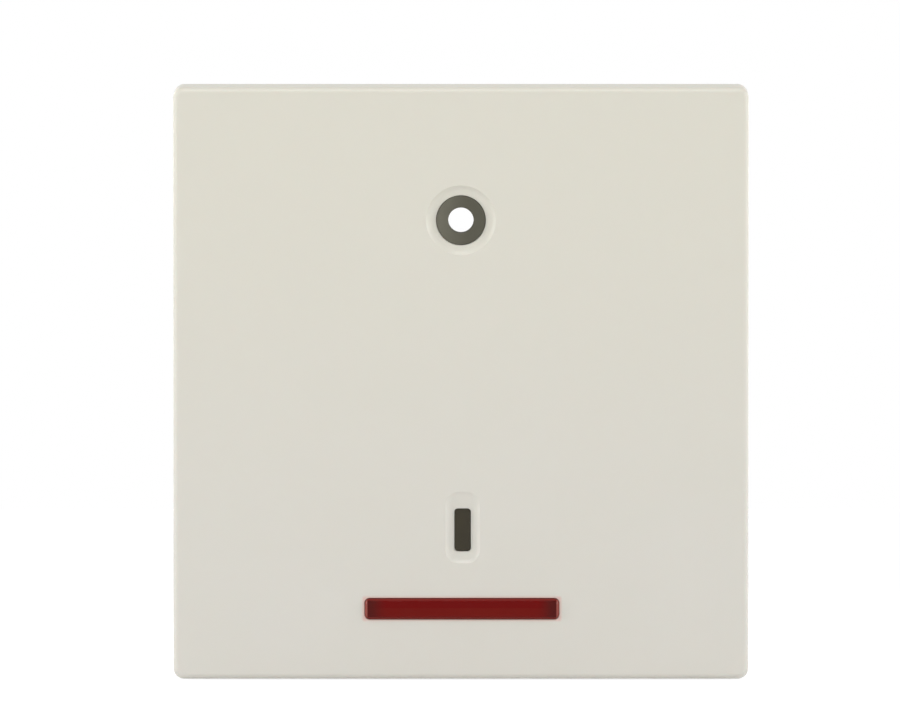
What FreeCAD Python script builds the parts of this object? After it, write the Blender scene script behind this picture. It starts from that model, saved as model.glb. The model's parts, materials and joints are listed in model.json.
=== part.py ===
import FreeCAD, Part
import math
import os
import re
import Sketcher
from FreeCAD import Placement, Rotation, Vector

# Flush double-pole wall switch with a large rocker plate, an off ring, an on bar and a red window.
# The origin is the middle of the support ring's back face, which lies on the wall. +Z is up, the
# rocker faces -Y and the socket goes into the wall box along +Y. The rocker rests with "I" pressed.

# Driving sizes in millimetres and degrees: name, value, what it is
SIZES = [
    ("key_width", 68.0, "rocker plate, side to side"),
    ("key_height", 70.1, "rocker plate, bottom to top"),
    ("key_corner", 1.25, "rocker plate, radius of its four corners"),
    ("key_edge", 0.7, "rocker plate, rounding of its front edge"),
    ("key_front", 6.4, "rocker plate, front face ahead of the rocker's axis"),
    ("key_depth", 8.1, "rocker plate, front face to the back of its skirt"),
    ("key_face", 1.8, "rocker plate, thickness of the face"),
    ("key_skirt", 1.4, "rocker plate, thickness of the skirt"),
    ("key_inner_corner", 0.6, "rocker plate, radius inside the skirt's corners"),
    ("pivot_front", 5.6, "rocker's axis ahead of the wall"),
    ("rest_tilt", 3.5, "rocker's tilt each side of the middle, in degrees"),
    ("rib_depth", 2.4, "stiffening ribs behind the face"),
    ("rib_thickness", 1.2, "stiffening ribs, thickness"),
    ("rib_place", 24.0, "upright ribs from the middle"),
    ("rib_top", 27.0, "upper cross rib above the middle"),
    ("rib_bottom", 31.5, "lower cross rib below the middle"),
    ("recess_depth", 0.6, "shallow recesses of the two symbols"),
    ("recess_slope", 35.0, "slope of the recess walls, in degrees"),
    ("off_height", 19.3, "off ring above the middle"),
    ("off_recess_radius", 4.13, "off ring's recess at the face"),
    ("off_ring_radius", 2.89, "off ring, outside"),
    ("off_hole_radius", 1.5, "off ring, hole right through"),
    ("off_flange_radius", 3.9, "off ring, flange behind the face"),
    ("on_drop", 17.37, "on bar below the middle"),
    ("on_bar_width", 1.83, "on bar, width"),
    ("on_bar_height", 4.95, "on bar, height"),
    ("on_bar_corner", 0.25, "on bar, corner radius"),
    ("on_recess_width", 4.07, "on bar's recess, width at the face"),
    ("on_recess_height", 8.92, "on bar's recess, height at the face"),
    ("on_recess_rise", 0.51, "middle of the recess above the middle of the bar"),
    ("on_recess_corner", 1.3, "on bar's recess, corner radius"),
    ("on_flange_width", 3.4, "on bar's flange, width"),
    ("on_flange_height", 6.6, "on bar's flange, height"),
    ("on_flange_corner", 0.6, "on bar's flange, corner radius"),
    ("symbol_proud", 0.15, "symbols proud of the recess floor"),
    ("symbol_bevel", 0.12, "bevel round the front of a symbol"),
    ("symbol_flange", 0.6, "symbols, flange thickness"),
    ("inlay_gap", 0.05, "gap round an inlay in the face"),
    ("lens_drop", 26.7, "red window below the middle"),
    ("lens_width", 22.95, "red window, width"),
    ("lens_height", 2.45, "red window, height"),
    ("lens_corner", 0.6, "red window, corner radius"),
    ("lens_proud", 0.35, "red window proud of the face"),
    ("lens_bevel", 0.3, "bevel round the front of the window"),
    ("lens_flange_width", 25.0, "red window's flange, width"),
    ("lens_flange_height", 4.5, "red window's flange, height"),
    ("lens_flange", 0.8, "red window's flange, thickness"),
    ("guide_width", 10.0, "light guide behind the window, width"),
    ("guide_thickness", 1.2, "light guide, thickness"),
    ("seat_rise", 0.6, "seats of the plate on the cradle, height"),
    ("seat_place", 14.5, "seats from the middle"),
    ("seat_length", 23.0, "seats, length"),
    ("hook_place", 10.5, "snap hooks from the middle, sideways"),
    ("hook_height", 8.5, "snap hooks from the middle, up and down"),
    ("hook_width", 3.0, "snap hooks, width"),
    ("hook_thickness", 1.2, "snap hooks, thickness"),
    ("hook_barb", 0.6, "snap hooks, step of the barb"),
    ("hook_nose", 1.1, "snap hooks, length of the barb"),
    ("hook_gap", 0.3, "window round a snap hook"),
    ("cradle_width", 34.0, "cradle plate, width"),
    ("cradle_height", 25.0, "cradle plate, height"),
    ("cradle_thickness", 2.0, "cradle plate, thickness"),
    ("notch_width", 11.0, "cradle's notch for the lamp, width"),
    ("notch_drop", 7.0, "cradle's notch starts this far below the middle"),
    ("cheek_thickness", 2.2, "cradle's cheeks that carry the trunnions"),
    ("cheek_half", 3.6, "cradle's cheeks, half height at the plate"),
    ("cheek_radius", 2.0, "cradle's cheeks, rounding about the axis"),
    ("trunnion_radius", 1.5, "cradle's trunnions"),
    ("trunnion_length", 2.4, "cradle's trunnions beyond the cheeks"),
    ("pole_place", 8.5, "each pole's plunger and contact from the middle"),
    ("arm_radius", 3.0, "cradle's plunger tubes, outside"),
    ("arm_reach", 15.1, "cradle's plunger tubes behind the axis"),
    ("arm_floor", 0.4, "floor of a plunger tube behind the cradle plate"),
    ("plunger_radius", 2.0, "plungers"),
    ("plunger_tail", 8.0, "plungers start this far behind the axis"),
    ("plunger_hollow", 1.55, "plungers, radius of the spring's hollow"),
    ("plunger_hollow_depth", 5.6, "plungers, depth of the spring's hollow"),
    ("plunger_nose", 1.3, "plungers, radius of the rounded nose"),
    ("nose_flat", 0.03, "plungers, flat left in the middle of the nose"),
    ("plunger_cone", 2.5, "plungers, length of the cone before the nose"),
    ("slide_gap", 0.05, "plunger in its tube"),
    ("nose_gap", 0.1, "plunger's nose off the contact in the middle position"),
    ("coil_radius", 1.25, "plunger springs, middle of the wire"),
    ("coil_wire", 0.2, "plunger springs, radius of the wire"),
    ("coil_turns", 12.0, "plunger springs, number of turns"),
    ("contact_pivot", 16.0, "contact rockers' axis behind the wall"),
    ("contact_ratio", 3.0, "contact rocker's turn for each degree of the rocker"),
    ("contact_length", 20.0, "contact rockers, length"),
    ("contact_width", 5.0, "contact rockers, width"),
    ("contact_thickness", 1.0, "contact rockers, thickness"),
    ("contact_front", 1.3, "contact rockers' front face ahead of their axis"),
    ("journal_radius", 1.2, "contact rockers, rounded bearing ridge"),
    ("journal_gap", 0.05, "bearing ridge in its saddle"),
    ("tip_arm", 8.5, "silver tips from the contact rocker's axis"),
    ("tip_radius", 1.3, "silver tips"),
    ("tip_back", 0.5, "moving tip's face behind the contact rocker's axis"),
    ("tip_bevel", 0.35, "silver tips, bevel"),
    ("tip_gap", 0.04, "closed tips, running gap"),
    ("stop_rest_gap", 0.12, "open contact rocker off its stop rib"),
    ("ring_width", 67.0, "support ring, width"),
    ("ring_height", 69.0, "support ring, height"),
    ("ring_corner", 12.0, "support ring, cut corners"),
    ("ring_thickness", 1.2, "support ring, sheet thickness"),
    ("ring_notch_width", 6.0, "support ring, sight notch behind the off ring"),
    ("ring_notch_top", 22.5, "support ring, top of the sight notch"),
    ("box_spacing", 60.0, "wall box screws, distance apart"),
    ("box_slot_length", 5.0, "wall box screw slots, end to end"),
    ("box_slot_radius", 1.7, "wall box screw slots, half width"),
    ("frame_width", 45.0, "bearing frame, width"),
    ("frame_height", 37.0, "bearing frame, height"),
    ("frame_thickness", 2.0, "bearing frame, plate thickness"),
    ("ear_thickness", 2.2, "bearing ears, thickness"),
    ("ear_radius", 2.6, "bearing ears, rounding about the axis"),
    ("ear_gap", 0.4, "bearing ears off the cradle's cheeks"),
    ("bearing_gap", 0.05, "trunnion in its bearing"),
    ("sight_notch_width", 8.0, "bearing frame, sight notch behind the off ring"),
    ("sight_notch_depth", 1.9, "bearing frame, depth of the sight notch"),
    ("arm_opening_gap", 0.4, "bearing frame, plunger tube's opening at its sides"),
    ("arm_opening_half", 4.4, "bearing frame, plunger tube's opening, half height"),
    ("stop_inner", 10.8, "rocker stops, near edge from the middle"),
    ("stop_outer", 12.2, "rocker stops, far edge from the middle"),
    ("stop_near", 11.0, "rocker stops, inner side"),
    ("stop_far", 15.0, "rocker stops, outer side"),
    ("stop_gap", 0.15, "cradle off the rocker stops at the end of its tilt"),
    ("socket_width", 41.0, "socket base, width"),
    ("socket_height", 33.0, "socket base, height"),
    ("socket_corner", 2.0, "socket base, corner radius"),
    ("socket_back", 26.5, "socket base, back face behind the wall"),
    ("socket_fit", 0.2, "gap round the socket base in the support ring"),
    ("chamber_near", 5.0, "contact chambers, inner side from the middle"),
    ("chamber_far", 12.0, "contact chambers, outer side from the middle"),
    ("chamber_half", 12.8, "contact chambers, half height"),
    ("chamber_floor", 20.0, "contact chambers, floor behind the wall"),
    ("rib_near", 8.5, "stop rib in the contact chamber, near edge below the middle"),
    ("rib_far", 11.0, "stop rib in the contact chamber, far edge below the middle"),
    ("wire_room_near", 13.2, "terminal chambers, inner side from the middle"),
    ("side_wall", 1.0, "terminal chambers, wall at the socket's side"),
    ("wire_room_low", 3.6, "terminal chambers, near end from the middle"),
    ("end_wall", 1.3, "terminal chambers, wall at the socket's end"),
    ("wire_room_front", 11.0, "terminal chambers, front end behind the wall"),
    ("strip_thickness", 0.8, "terminals, strip thickness"),
    ("clamp_thickness", 0.7, "terminals, thickness of the clamping plate"),
    ("strip_low", 4.1, "terminals, near edge of the strip through the wall"),
    ("strip_high", 6.9, "terminals, far edge of the strip through the wall"),
    ("strip_near", 5.8, "terminals, inner edge from the middle"),
    ("strip_far", 11.2, "terminals, outer edge inside the contact chamber"),
    ("window_gap", 0.1, "gap round a strip that goes through the wall"),
    ("line_top", 10.0, "line terminals, upper end of the plate under the tip"),
    ("saddle_half", 1.8, "load terminals, half height of the saddle"),
    ("saddle_sink", 0.2, "saddle's front behind the contact rocker's axis"),
    ("clamp_front", 12.0, "clamping plates, front end behind the wall"),
    ("clamp_back", 25.5, "clamping plates, back end behind the wall"),
    ("clamp_end_gap", 0.7, "clamping plates off the far end of their chamber"),
    ("wire_side", 2.4, "wire holes from the outer side of their chamber"),
    ("wire_end", 4.4, "wire holes from the far end of their chamber"),
    ("wire_radius", 1.5, "wire holes"),
    ("clip_width", 5.0, "clamp springs, width"),
    ("clip_thickness", 0.4, "clamp springs, sheet thickness"),
    ("clip_front", 14.0, "clamp springs, front end of the fixed leg"),
    ("clip_bend", 23.4, "clamp springs, where the leg turns over"),
    ("clip_tip", 18.2, "clamp springs, end of the gripping leg"),
    ("cover_thickness", 3.0, "rear cover, thickness"),
    ("cover_clip_place", 10.0, "rear cover's clips from the middle"),
    ("cover_clip_width", 4.0, "rear cover's clips, width"),
    ("cover_clip_thickness", 0.8, "rear cover's clips, thickness"),
    ("cover_clip_reach", 3.9, "rear cover's clips, length along the socket"),
    ("cover_clip_barb", 0.4, "rear cover's clips, step of the barb"),
    ("cover_clip_nose", 1.4, "rear cover's clips, length of the barb"),
    ("cover_clip_gap", 0.1, "rear cover's clips off the socket"),
    ("catch_depth", 0.6, "socket's catches for the clips, depth"),
    ("catch_play", 0.2, "socket's catches, play round a barb"),
    ("lever_place", 14.2, "release levers from the middle"),
    ("lever_thickness", 1.2, "release levers, thickness"),
    ("lever_end", 3.5, "release levers, ends of the bar from the socket's ends"),
    ("lever_bar", 2.0, "release levers, depth of the bar"),
    ("lever_travel", 1.3, "release levers, travel"),
    ("lever_gap", 0.2, "release levers in their channels"),
    ("prong_width", 3.6, "release levers, width of a prong"),
    ("prong_reach", 4.0, "release levers, length of a prong"),
    ("screw_place", 23.0, "frame screws from the middle, sideways"),
    ("screw_height", 10.5, "frame screws from the middle, up and down"),
    ("screw_radius", 1.15, "frame screws, shank"),
    ("screw_head_radius", 2.2, "frame screws, head"),
    ("screw_head", 1.4, "frame screws, head height"),
    ("screw_length", 6.3, "frame screws, shank length"),
    ("screw_ear_radius", 2.9, "ears that take the frame screws"),
    ("screw_ear_depth", 3.5, "socket's ears, depth"),
    ("thread_gap", 0.05, "screw in its hole"),
    ("claw_place", 24.6, "claw screws from the middle"),
    ("claw_head_radius", 2.7, "claw screws, head"),
    ("claw_head", 1.8, "claw screws, head height"),
    ("claw_shank", 1.45, "claw screws, shank"),
    ("claw_screw_end", 23.4, "claw screws, end behind the wall"),
    ("claw_head_gap", 0.4, "bearing frame's notch round a claw screw's head"),
    ("slot_width", 0.9, "screw heads, width of the cross slot"),
    ("slot_depth", 0.8, "screw heads, depth of the cross slot"),
    ("slot_reach", 0.7, "screw heads, cross slot as a share of the head's radius"),
    ("head_rounding", 0.4, "screw heads, rounding as a share of the head's height"),
    ("nut_side", 5.5, "claw nuts, side"),
    ("nut_front", 20.2, "claw nuts, front face behind the wall"),
    ("nut_height", 2.4, "claw nuts, height"),
    ("claw_thickness", 1.2, "claws, sheet thickness"),
    ("claw_width", 6.8, "claws, width"),
    ("claw_inner", 21.2, "claws, inner end of the foot from the middle"),
    ("claw_outer", 28.2, "claws, outside of the leg from the middle"),
    ("claw_front", 5.2, "claws, points behind the wall"),
    ("claw_nut_gap", 0.2, "claw's foot off its nut"),
    ("claw_slot_near", 22.4, "claws, inner end of the screw slot"),
    ("claw_slot_far", 26.8, "claws, outer end of the screw slot"),
    ("claw_slot_width", 3.4, "claws, width of the screw slot"),
    ("claw_tooth", 1.1, "claws, depth of the notches between teeth"),
    ("tooth_pitch", 1.7, "claws, notch to notch"),
    ("tooth_half", 0.6, "claws, half width of a notch"),
    ("lamp_edge", 5.2, "lamp up from the socket's lower side"),
    ("holder_width", 6.8, "lamp holder, width"),
    ("holder_height", 7.0, "lamp holder, height"),
    ("holder_front", 2.4, "lamp holder, front ahead of the wall"),
    ("holder_back", 9.8, "lamp holder, back behind the wall"),
    ("holder_gap", 0.2, "gap round the lamp holder"),
    ("lamp_opening_gap", 0.5, "bearing frame's opening round the lamp holder"),
    ("bulb_radius", 2.0, "lamp bulb"),
    ("bulb_front", 6.0, "lamp bulb, tip ahead of the wall"),
    ("bulb_back", 1.5, "lamp bulb, foot behind the wall"),
    ("bulb_dome", 1.6, "lamp bulb, rounding of its tip"),
    ("bulb_wall", 0.35, "lamp bulb, glass thickness"),
    ("bulb_gap", 0.1, "lamp bulb in its holder"),
    ("electrode_radius", 0.25, "lamp's electrodes"),
    ("electrode_place", 0.65, "lamp's electrodes from the bulb's axis"),
    ("electrode_front", 4.2, "lamp's electrodes, tips ahead of the wall"),
    ("resistor_radius", 1.1, "lamp's resistor, body"),
    ("resistor_front", 3.2, "lamp's resistor, front end behind the wall"),
    ("resistor_back", 7.8, "lamp's resistor, back end behind the wall"),
    ("lead_radius", 0.25, "lamp's resistor, lead"),
    ("pin_radius", 0.4, "lamp's contact pins"),
    ("pin_back", 9.0, "lamp's contact pins behind the wall"),
    ("pin_rise", 2.2, "lamp's contact pins above the lamp's middle"),
    ("pin_inner", 2.2, "lamp's contact pins, inner end from the middle"),
    ("tab_thickness", 0.5, "load terminals' lamp tab, thickness"),
    ("tab_half", 0.8, "load terminals' lamp tab, half width"),
    ("tab_gap", 0.05, "load terminals' lamp tab off the chamber's wall"),
    ("cut_past", 1.0, "how far a cut runs past the faces that it opens"),
]

# Sizes that follow from others: name, formula, what it is
FOLLOWING = [
    ("wire_room_far", "socket_width / 2 - side_wall", "terminal chambers, outer side from the middle"),
    ("wire_room_high", "socket_height / 2 - end_wall", "terminal chambers, far end from the middle"),
    ("clamp_high", "wire_room_high - clamp_end_gap", "clamping plates, far edge from the middle"),
    ("wire_place", "wire_room_far - wire_side", "wire holes from the middle, sideways"),
    ("wire_height", "wire_room_high - wire_end", "wire holes from the middle, up and down"),
    ("lever_half", "socket_height / 2 - lever_end", "release levers, half length of the bar"),
    ("prong_low", "wire_height - prong_width / 2", "release levers, near edge of a prong"),
    ("prong_high", "wire_height + prong_width / 2", "release levers, far edge of a prong"),
    ("lamp_drop", "socket_height / 2 - lamp_edge", "lamp below the middle"),
    ("pin_drop", "lamp_drop - pin_rise", "lamp's contact pins below the middle"),
]

# Places along the rocker's own depth, from its axis, as expressions
KEY_FRONT = "(-key_front)"
KEY_BACK = "(key_face - key_front)"
KEY_SKIRT_END = "(key_depth - key_front)"
RECESS_FLOOR = "(recess_depth - key_front)"
FLANGE_BACK = f"({KEY_BACK} + symbol_flange)"
GUIDE_FRONT = f"({KEY_BACK} + lens_flange)"
CRADLE_FRONT = f"({KEY_BACK} + seat_rise)"
CRADLE_BACK = f"({CRADLE_FRONT} + cradle_thickness)"
TUBE_FLOOR = f"({CRADLE_BACK} + arm_floor)"
TUBE_RADIUS = "(plunger_radius + slide_gap)"
NOSE_TIP = "(pivot_front + contact_pivot - contact_front - nose_gap)"
CHEEK_NEAR = "(cradle_width / 2 - cheek_thickness)"
CHEEK_FAR = "(cradle_width / 2)"

# Places behind the wall plane, as expressions
RING_FRONT = "(-ring_thickness)"
FRAME_FRONT = "(-ring_thickness - frame_thickness)"
COVER_BACK = "(socket_back + cover_thickness)"
STRIP_FRONT = "(chamber_floor - strip_thickness)"
CONTACT_TILT = "(contact_ratio * rest_tilt)"
TIP_HEIGHT = f"(tip_arm * cos({CONTACT_TILT}) - tip_back * sin({CONTACT_TILT}))"
TIP_FACE = (
    f"(contact_pivot + tip_back * cos({CONTACT_TILT})"
    f" + (tip_arm + tip_radius - tip_bevel) * sin({CONTACT_TILT}) + tip_gap)"
)
RIB_FRONT = (
    f"(contact_pivot - (contact_front - contact_thickness) * cos({CONTACT_TILT})"
    f" + contact_length / 2 * sin({CONTACT_TILT}) + stop_rest_gap)"
)
STOP_FRONT = (
    f"({CRADLE_BACK} * cos(rest_tilt) + stop_outer * sin(rest_tilt) + stop_gap - pivot_front)"
)
EAR_NEAR = f"({CHEEK_FAR} + ear_gap)"
EAR_FAR = f"({EAR_NEAR} + ear_thickness)"
CLAMP_NEAR = "(wire_room_far - window_gap - clamp_thickness)"
CLAMP_FAR = "(wire_room_far - window_gap)"
LEVER_BACK = f"({COVER_BACK} + lever_travel - lever_gap)"
LEVER_FRONT = f"({LEVER_BACK} - lever_bar)"
PRONG_FRONT = f"({LEVER_FRONT} - prong_reach)"
CHANNEL_FLOOR = f"({LEVER_FRONT} - lever_travel - lever_gap)"
CLAW_BACK = "(nut_front - claw_nut_gap)"
CLAW_AXIS_DEPTH = f"({CLAW_BACK} - claw_thickness)"
CLAW_AXIS_PLACE = "(claw_outer - claw_thickness)"
HOLDER_TOP = "(lamp_drop - holder_height / 2)"
HOLDER_BOTTOM = "(lamp_drop + holder_height / 2)"
TAB_NEAR = "(chamber_near + tab_gap)"

QUARTER_TURN = math.pi / 2
LEVEL_TOLERANCE = 1e-4
SMALLEST_CUT = 1e-3
SIDES = (("left", -1), ("right", 1))
CORNERS = [(across, up) for across in (-1, 1) for up in (-1, 1)]

doc = FreeCAD.newDocument("DoublePoleSwitch")
sheet = doc.addObject("Spreadsheet::Sheet", "Sizes")
formulas = [(name, f"={formula}", meaning) for name, formula, meaning in FOLLOWING]
for row, (name, size, meaning) in enumerate(SIZES + formulas, start=1):
    sheet.set(f"A{row}", meaning)
    sheet.set(f"B{row}", str(size))
    sheet.setAlias(f"B{row}", name)
doc.recompute()

ALIASES = {name for name, _, _ in SIZES + FOLLOWING}
pieces = []


def bound(text):
    """An expression in which each size points at its cell of the sheet."""
    return re.sub(
        r"[a-z][a-z_]+", lambda word: f"Sizes.{word[0]}" if word[0] in ALIASES else word[0], text
    )


def value(text):
    """The number that an expression has now."""
    return float(sheet.evalExpression(bound(text)))


# Outlines, each of which adds itself to a sketch

def fix(sketch, kind, *place, length):
    """One dimension of a sketch, held by an expression."""
    number = sketch.addConstraint(Sketcher.Constraint(kind, *place, value(length)))
    sketch.setExpression(f"Constraints[{number}]", bound(length))


def polygon(*corners):
    """Straight lines through corners, each a pair of expressions."""
    def add(sketch):
        first = sketch.GeometryCount
        points = [Vector(value(u), value(v), 0) for u, v in corners]
        for start, end in zip(points, points[1:] + points[:1]):
            sketch.addGeometry(Part.LineSegment(start, end), False)
        for index, (u, v) in enumerate(corners):
            line = first + index
            following = first + (index + 1) % len(corners)
            sketch.addConstraint(Sketcher.Constraint("Coincident", line, 2, following, 1))
            fix(sketch, "DistanceX", -1, 1, line, 1, length=u)
            fix(sketch, "DistanceY", -1, 1, line, 1, length=v)
    return add


def box(u_one, v_one, u_two, v_two):
    """A rectangle between two opposite corners."""
    return polygon((u_one, v_one), (u_two, v_one), (u_two, v_two), (u_one, v_two))


def circle(u, v, radius):
    """A circle about a point."""
    def add(sketch):
        middle = Vector(value(u), value(v), 0)
        ring = sketch.addGeometry(Part.Circle(middle, Vector(0, 0, 1), value(radius)), False)
        fix(sketch, "Radius", ring, length=radius)
        fix(sketch, "DistanceX", -1, 1, ring, 3, length=u)
        fix(sketch, "DistanceY", -1, 1, ring, 3, length=v)
    return add


def arc(sketch, u, v, radius, turns):
    """A quarter or half circle, counter-clockwise between two right angles given in quarter turns."""
    middle = Vector(value(u), value(v), 0)
    whole = Part.Circle(middle, Vector(0, 0, 1), value(radius))
    bend = sketch.addGeometry(
        Part.ArcOfCircle(whole, turns[0] * QUARTER_TURN, turns[1] * QUARTER_TURN), False
    )
    fix(sketch, "Radius", bend, length=radius)
    fix(sketch, "DistanceX", -1, 1, bend, 3, length=u)
    fix(sketch, "DistanceY", -1, 1, bend, 3, length=v)
    for end, turn in ((1, turns[0]), (2, turns[1])):
        sketch.addConstraint(
            Sketcher.Constraint("Vertical" if turn % 2 else "Horizontal", bend, 3, bend, end)
        )
    return bend


def join(sketch, bends):
    """Straight lines from each bend's end to the next one's start."""
    for bend, following in zip(bends, bends[1:] + bends[:1]):
        start = sketch.getPoint(bend, 2)
        end = sketch.getPoint(following, 1)
        line = sketch.addGeometry(Part.LineSegment(start, end), False)
        sketch.addConstraint(Sketcher.Constraint("Coincident", bend, 2, line, 1))
        sketch.addConstraint(Sketcher.Constraint("Coincident", line, 2, following, 1))


def rounded(u, v, width, height, radius):
    """A rectangle about a point, with round corners."""
    def add(sketch):
        bends = []
        for number, (across, up) in enumerate(((1, 1), (-1, 1), (-1, -1), (1, -1))):
            corner_u = f"{u} + {across} * (({width}) / 2 - ({radius}))"
            corner_v = f"{v} + {up} * (({height}) / 2 - ({radius}))"
            bends.append(arc(sketch, corner_u, corner_v, radius, (number, number + 1)))
        join(sketch, bends)
    return add


def slot(u, v, length, radius, upright=False):
    """A slot about a point, with half-round ends."""
    def add(sketch):
        reach = f"(({length}) / 2 - ({radius}))"
        if upright:
            ends = [(u, f"{v} + {reach}", (0, 2)), (u, f"{v} - {reach}", (2, 4))]
        else:
            ends = [(f"{u} + {reach}", v, (-1, 1)), (f"{u} - {reach}", v, (1, 3))]
        join(sketch, [arc(sketch, at_u, at_v, radius, turns) for at_u, at_v, turns in ends])
    return add


def quarter(u, v, radius, turns):
    """A quarter disc about a point, between two right angles given in quarter turns."""
    def add(sketch):
        bend = arc(sketch, u, v, radius, turns)
        for end in (1, 2):
            edge = Part.LineSegment(sketch.getPoint(bend, end), sketch.getPoint(bend, 3))
            line = sketch.addGeometry(edge, False)
            sketch.addConstraint(Sketcher.Constraint("Coincident", bend, end, line, 1))
            sketch.addConstraint(Sketcher.Constraint("Coincident", line, 2, bend, 3))
    return add


# Bodies and their features

# Each view's own plane, and whether its sketches face along the axis (1) or against it (-1)
PLANES = {"face": ("XZ_Plane", -1), "side": ("YZ_Plane", 1), "plan": ("XY_Plane", 1)}


def new_body(label):
    """An empty body that becomes one piece."""
    body = doc.addObject("PartDesign::Body", label)
    body.Label = label
    pieces.append(body)
    return body


def draw(body, plane, level, outlines):
    """A sketch of closed outlines on one of the body's own planes, moved along its axis."""
    role, sense = PLANES[plane]
    sketch = body.newObject("Sketcher::SketchObject", f"{body.Name}_outline")
    own_plane = next(item for item in body.Origin.OriginFeatures if item.Role == role)
    sketch.AttachmentSupport = [(own_plane, "")]
    sketch.MapMode = "FlatFace"
    sketch.setExpression("AttachmentOffset.Base.z", bound(f"{sense} * ({level})"))
    for outline in outlines:
        outline(sketch)
    return sketch


def pad(body, plane, outlines, low, high):
    """Material inside the outlines, between two levels along the plane's axis."""
    level = high if PLANES[plane][1] < 0 else low
    feature = body.newObject("PartDesign::Pad", f"{body.Name}_pad")
    feature.Profile = draw(body, plane, level, outlines)
    feature.setExpression("Length", bound(f"({high}) - ({low})"))
    body.Tip = feature
    return feature


def pocket(body, plane, outlines, low, high, slope=None):
    """A hollow inside the outlines, between two levels, whose walls may draw in."""
    level = low if PLANES[plane][1] < 0 else high
    feature = body.newObject("PartDesign::Pocket", f"{body.Name}_pocket")
    feature.Profile = draw(body, plane, level, outlines)
    feature.setExpression("Length", bound(f"({high}) - ({low})"))
    if slope:
        feature.setExpression("TaperAngle", bound(f"-({slope})"))
    body.Tip = feature
    return feature


def turn(body, outline):
    """Material made by turning an outline of depth and radius about the body's own Y axis."""
    feature = body.newObject("PartDesign::Revolution", f"{body.Name}_turned")
    sketch = draw(body, "side", "0", [outline])
    feature.Profile = sketch
    feature.ReferenceAxis = (sketch, ["H_Axis"])
    feature.Angle = 360
    body.Tip = feature
    return feature


def trim(body, kind, feature, level, size):
    """A fillet or a chamfer on every edge of a feature that lies at one depth."""
    doc.recompute()
    depth = value(level)
    names = [
        f"Edge{number}"
        for number, edge in enumerate(feature.Shape.Edges, start=1)
        if max(abs(edge.BoundBox.YMin - depth), abs(edge.BoundBox.YMax - depth)) < LEVEL_TOLERANCE
    ]
    edge_feature = body.newObject(f"PartDesign::{kind}", f"{body.Name}_{kind.lower()}")
    edge_feature.Base = (feature, names)
    edge_feature.setExpression("Radius" if kind == "Fillet" else "Size", bound(size))
    body.Tip = edge_feature
    return edge_feature


def place(body, across="0", depth="0", height="0", tilt="0"):
    """Put a body at a point, turned about the X axis."""
    body.Placement = Placement(Vector(), Rotation(Vector(1, 0, 0), 1))
    body.setExpression("Placement.Rotation.Angle", bound(tilt))
    for axis, text in (("x", across), ("y", depth), ("z", height)):
        body.setExpression(f"Placement.Base.{axis}", bound(text))


def span(sign, near, far):
    """The two levels, low and high, of a stretch on one side of the middle."""
    return (near, far) if sign > 0 else (f"-({far})", f"-({near})")


def on_rocker(body):
    """Put a body that is drawn about the rocker's axis where the rocker rests."""
    place(body, depth="-pivot_front", tilt="rest_tilt")


# Rocker: the plate with its symbols and window, and the cradle that it snaps on to

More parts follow.
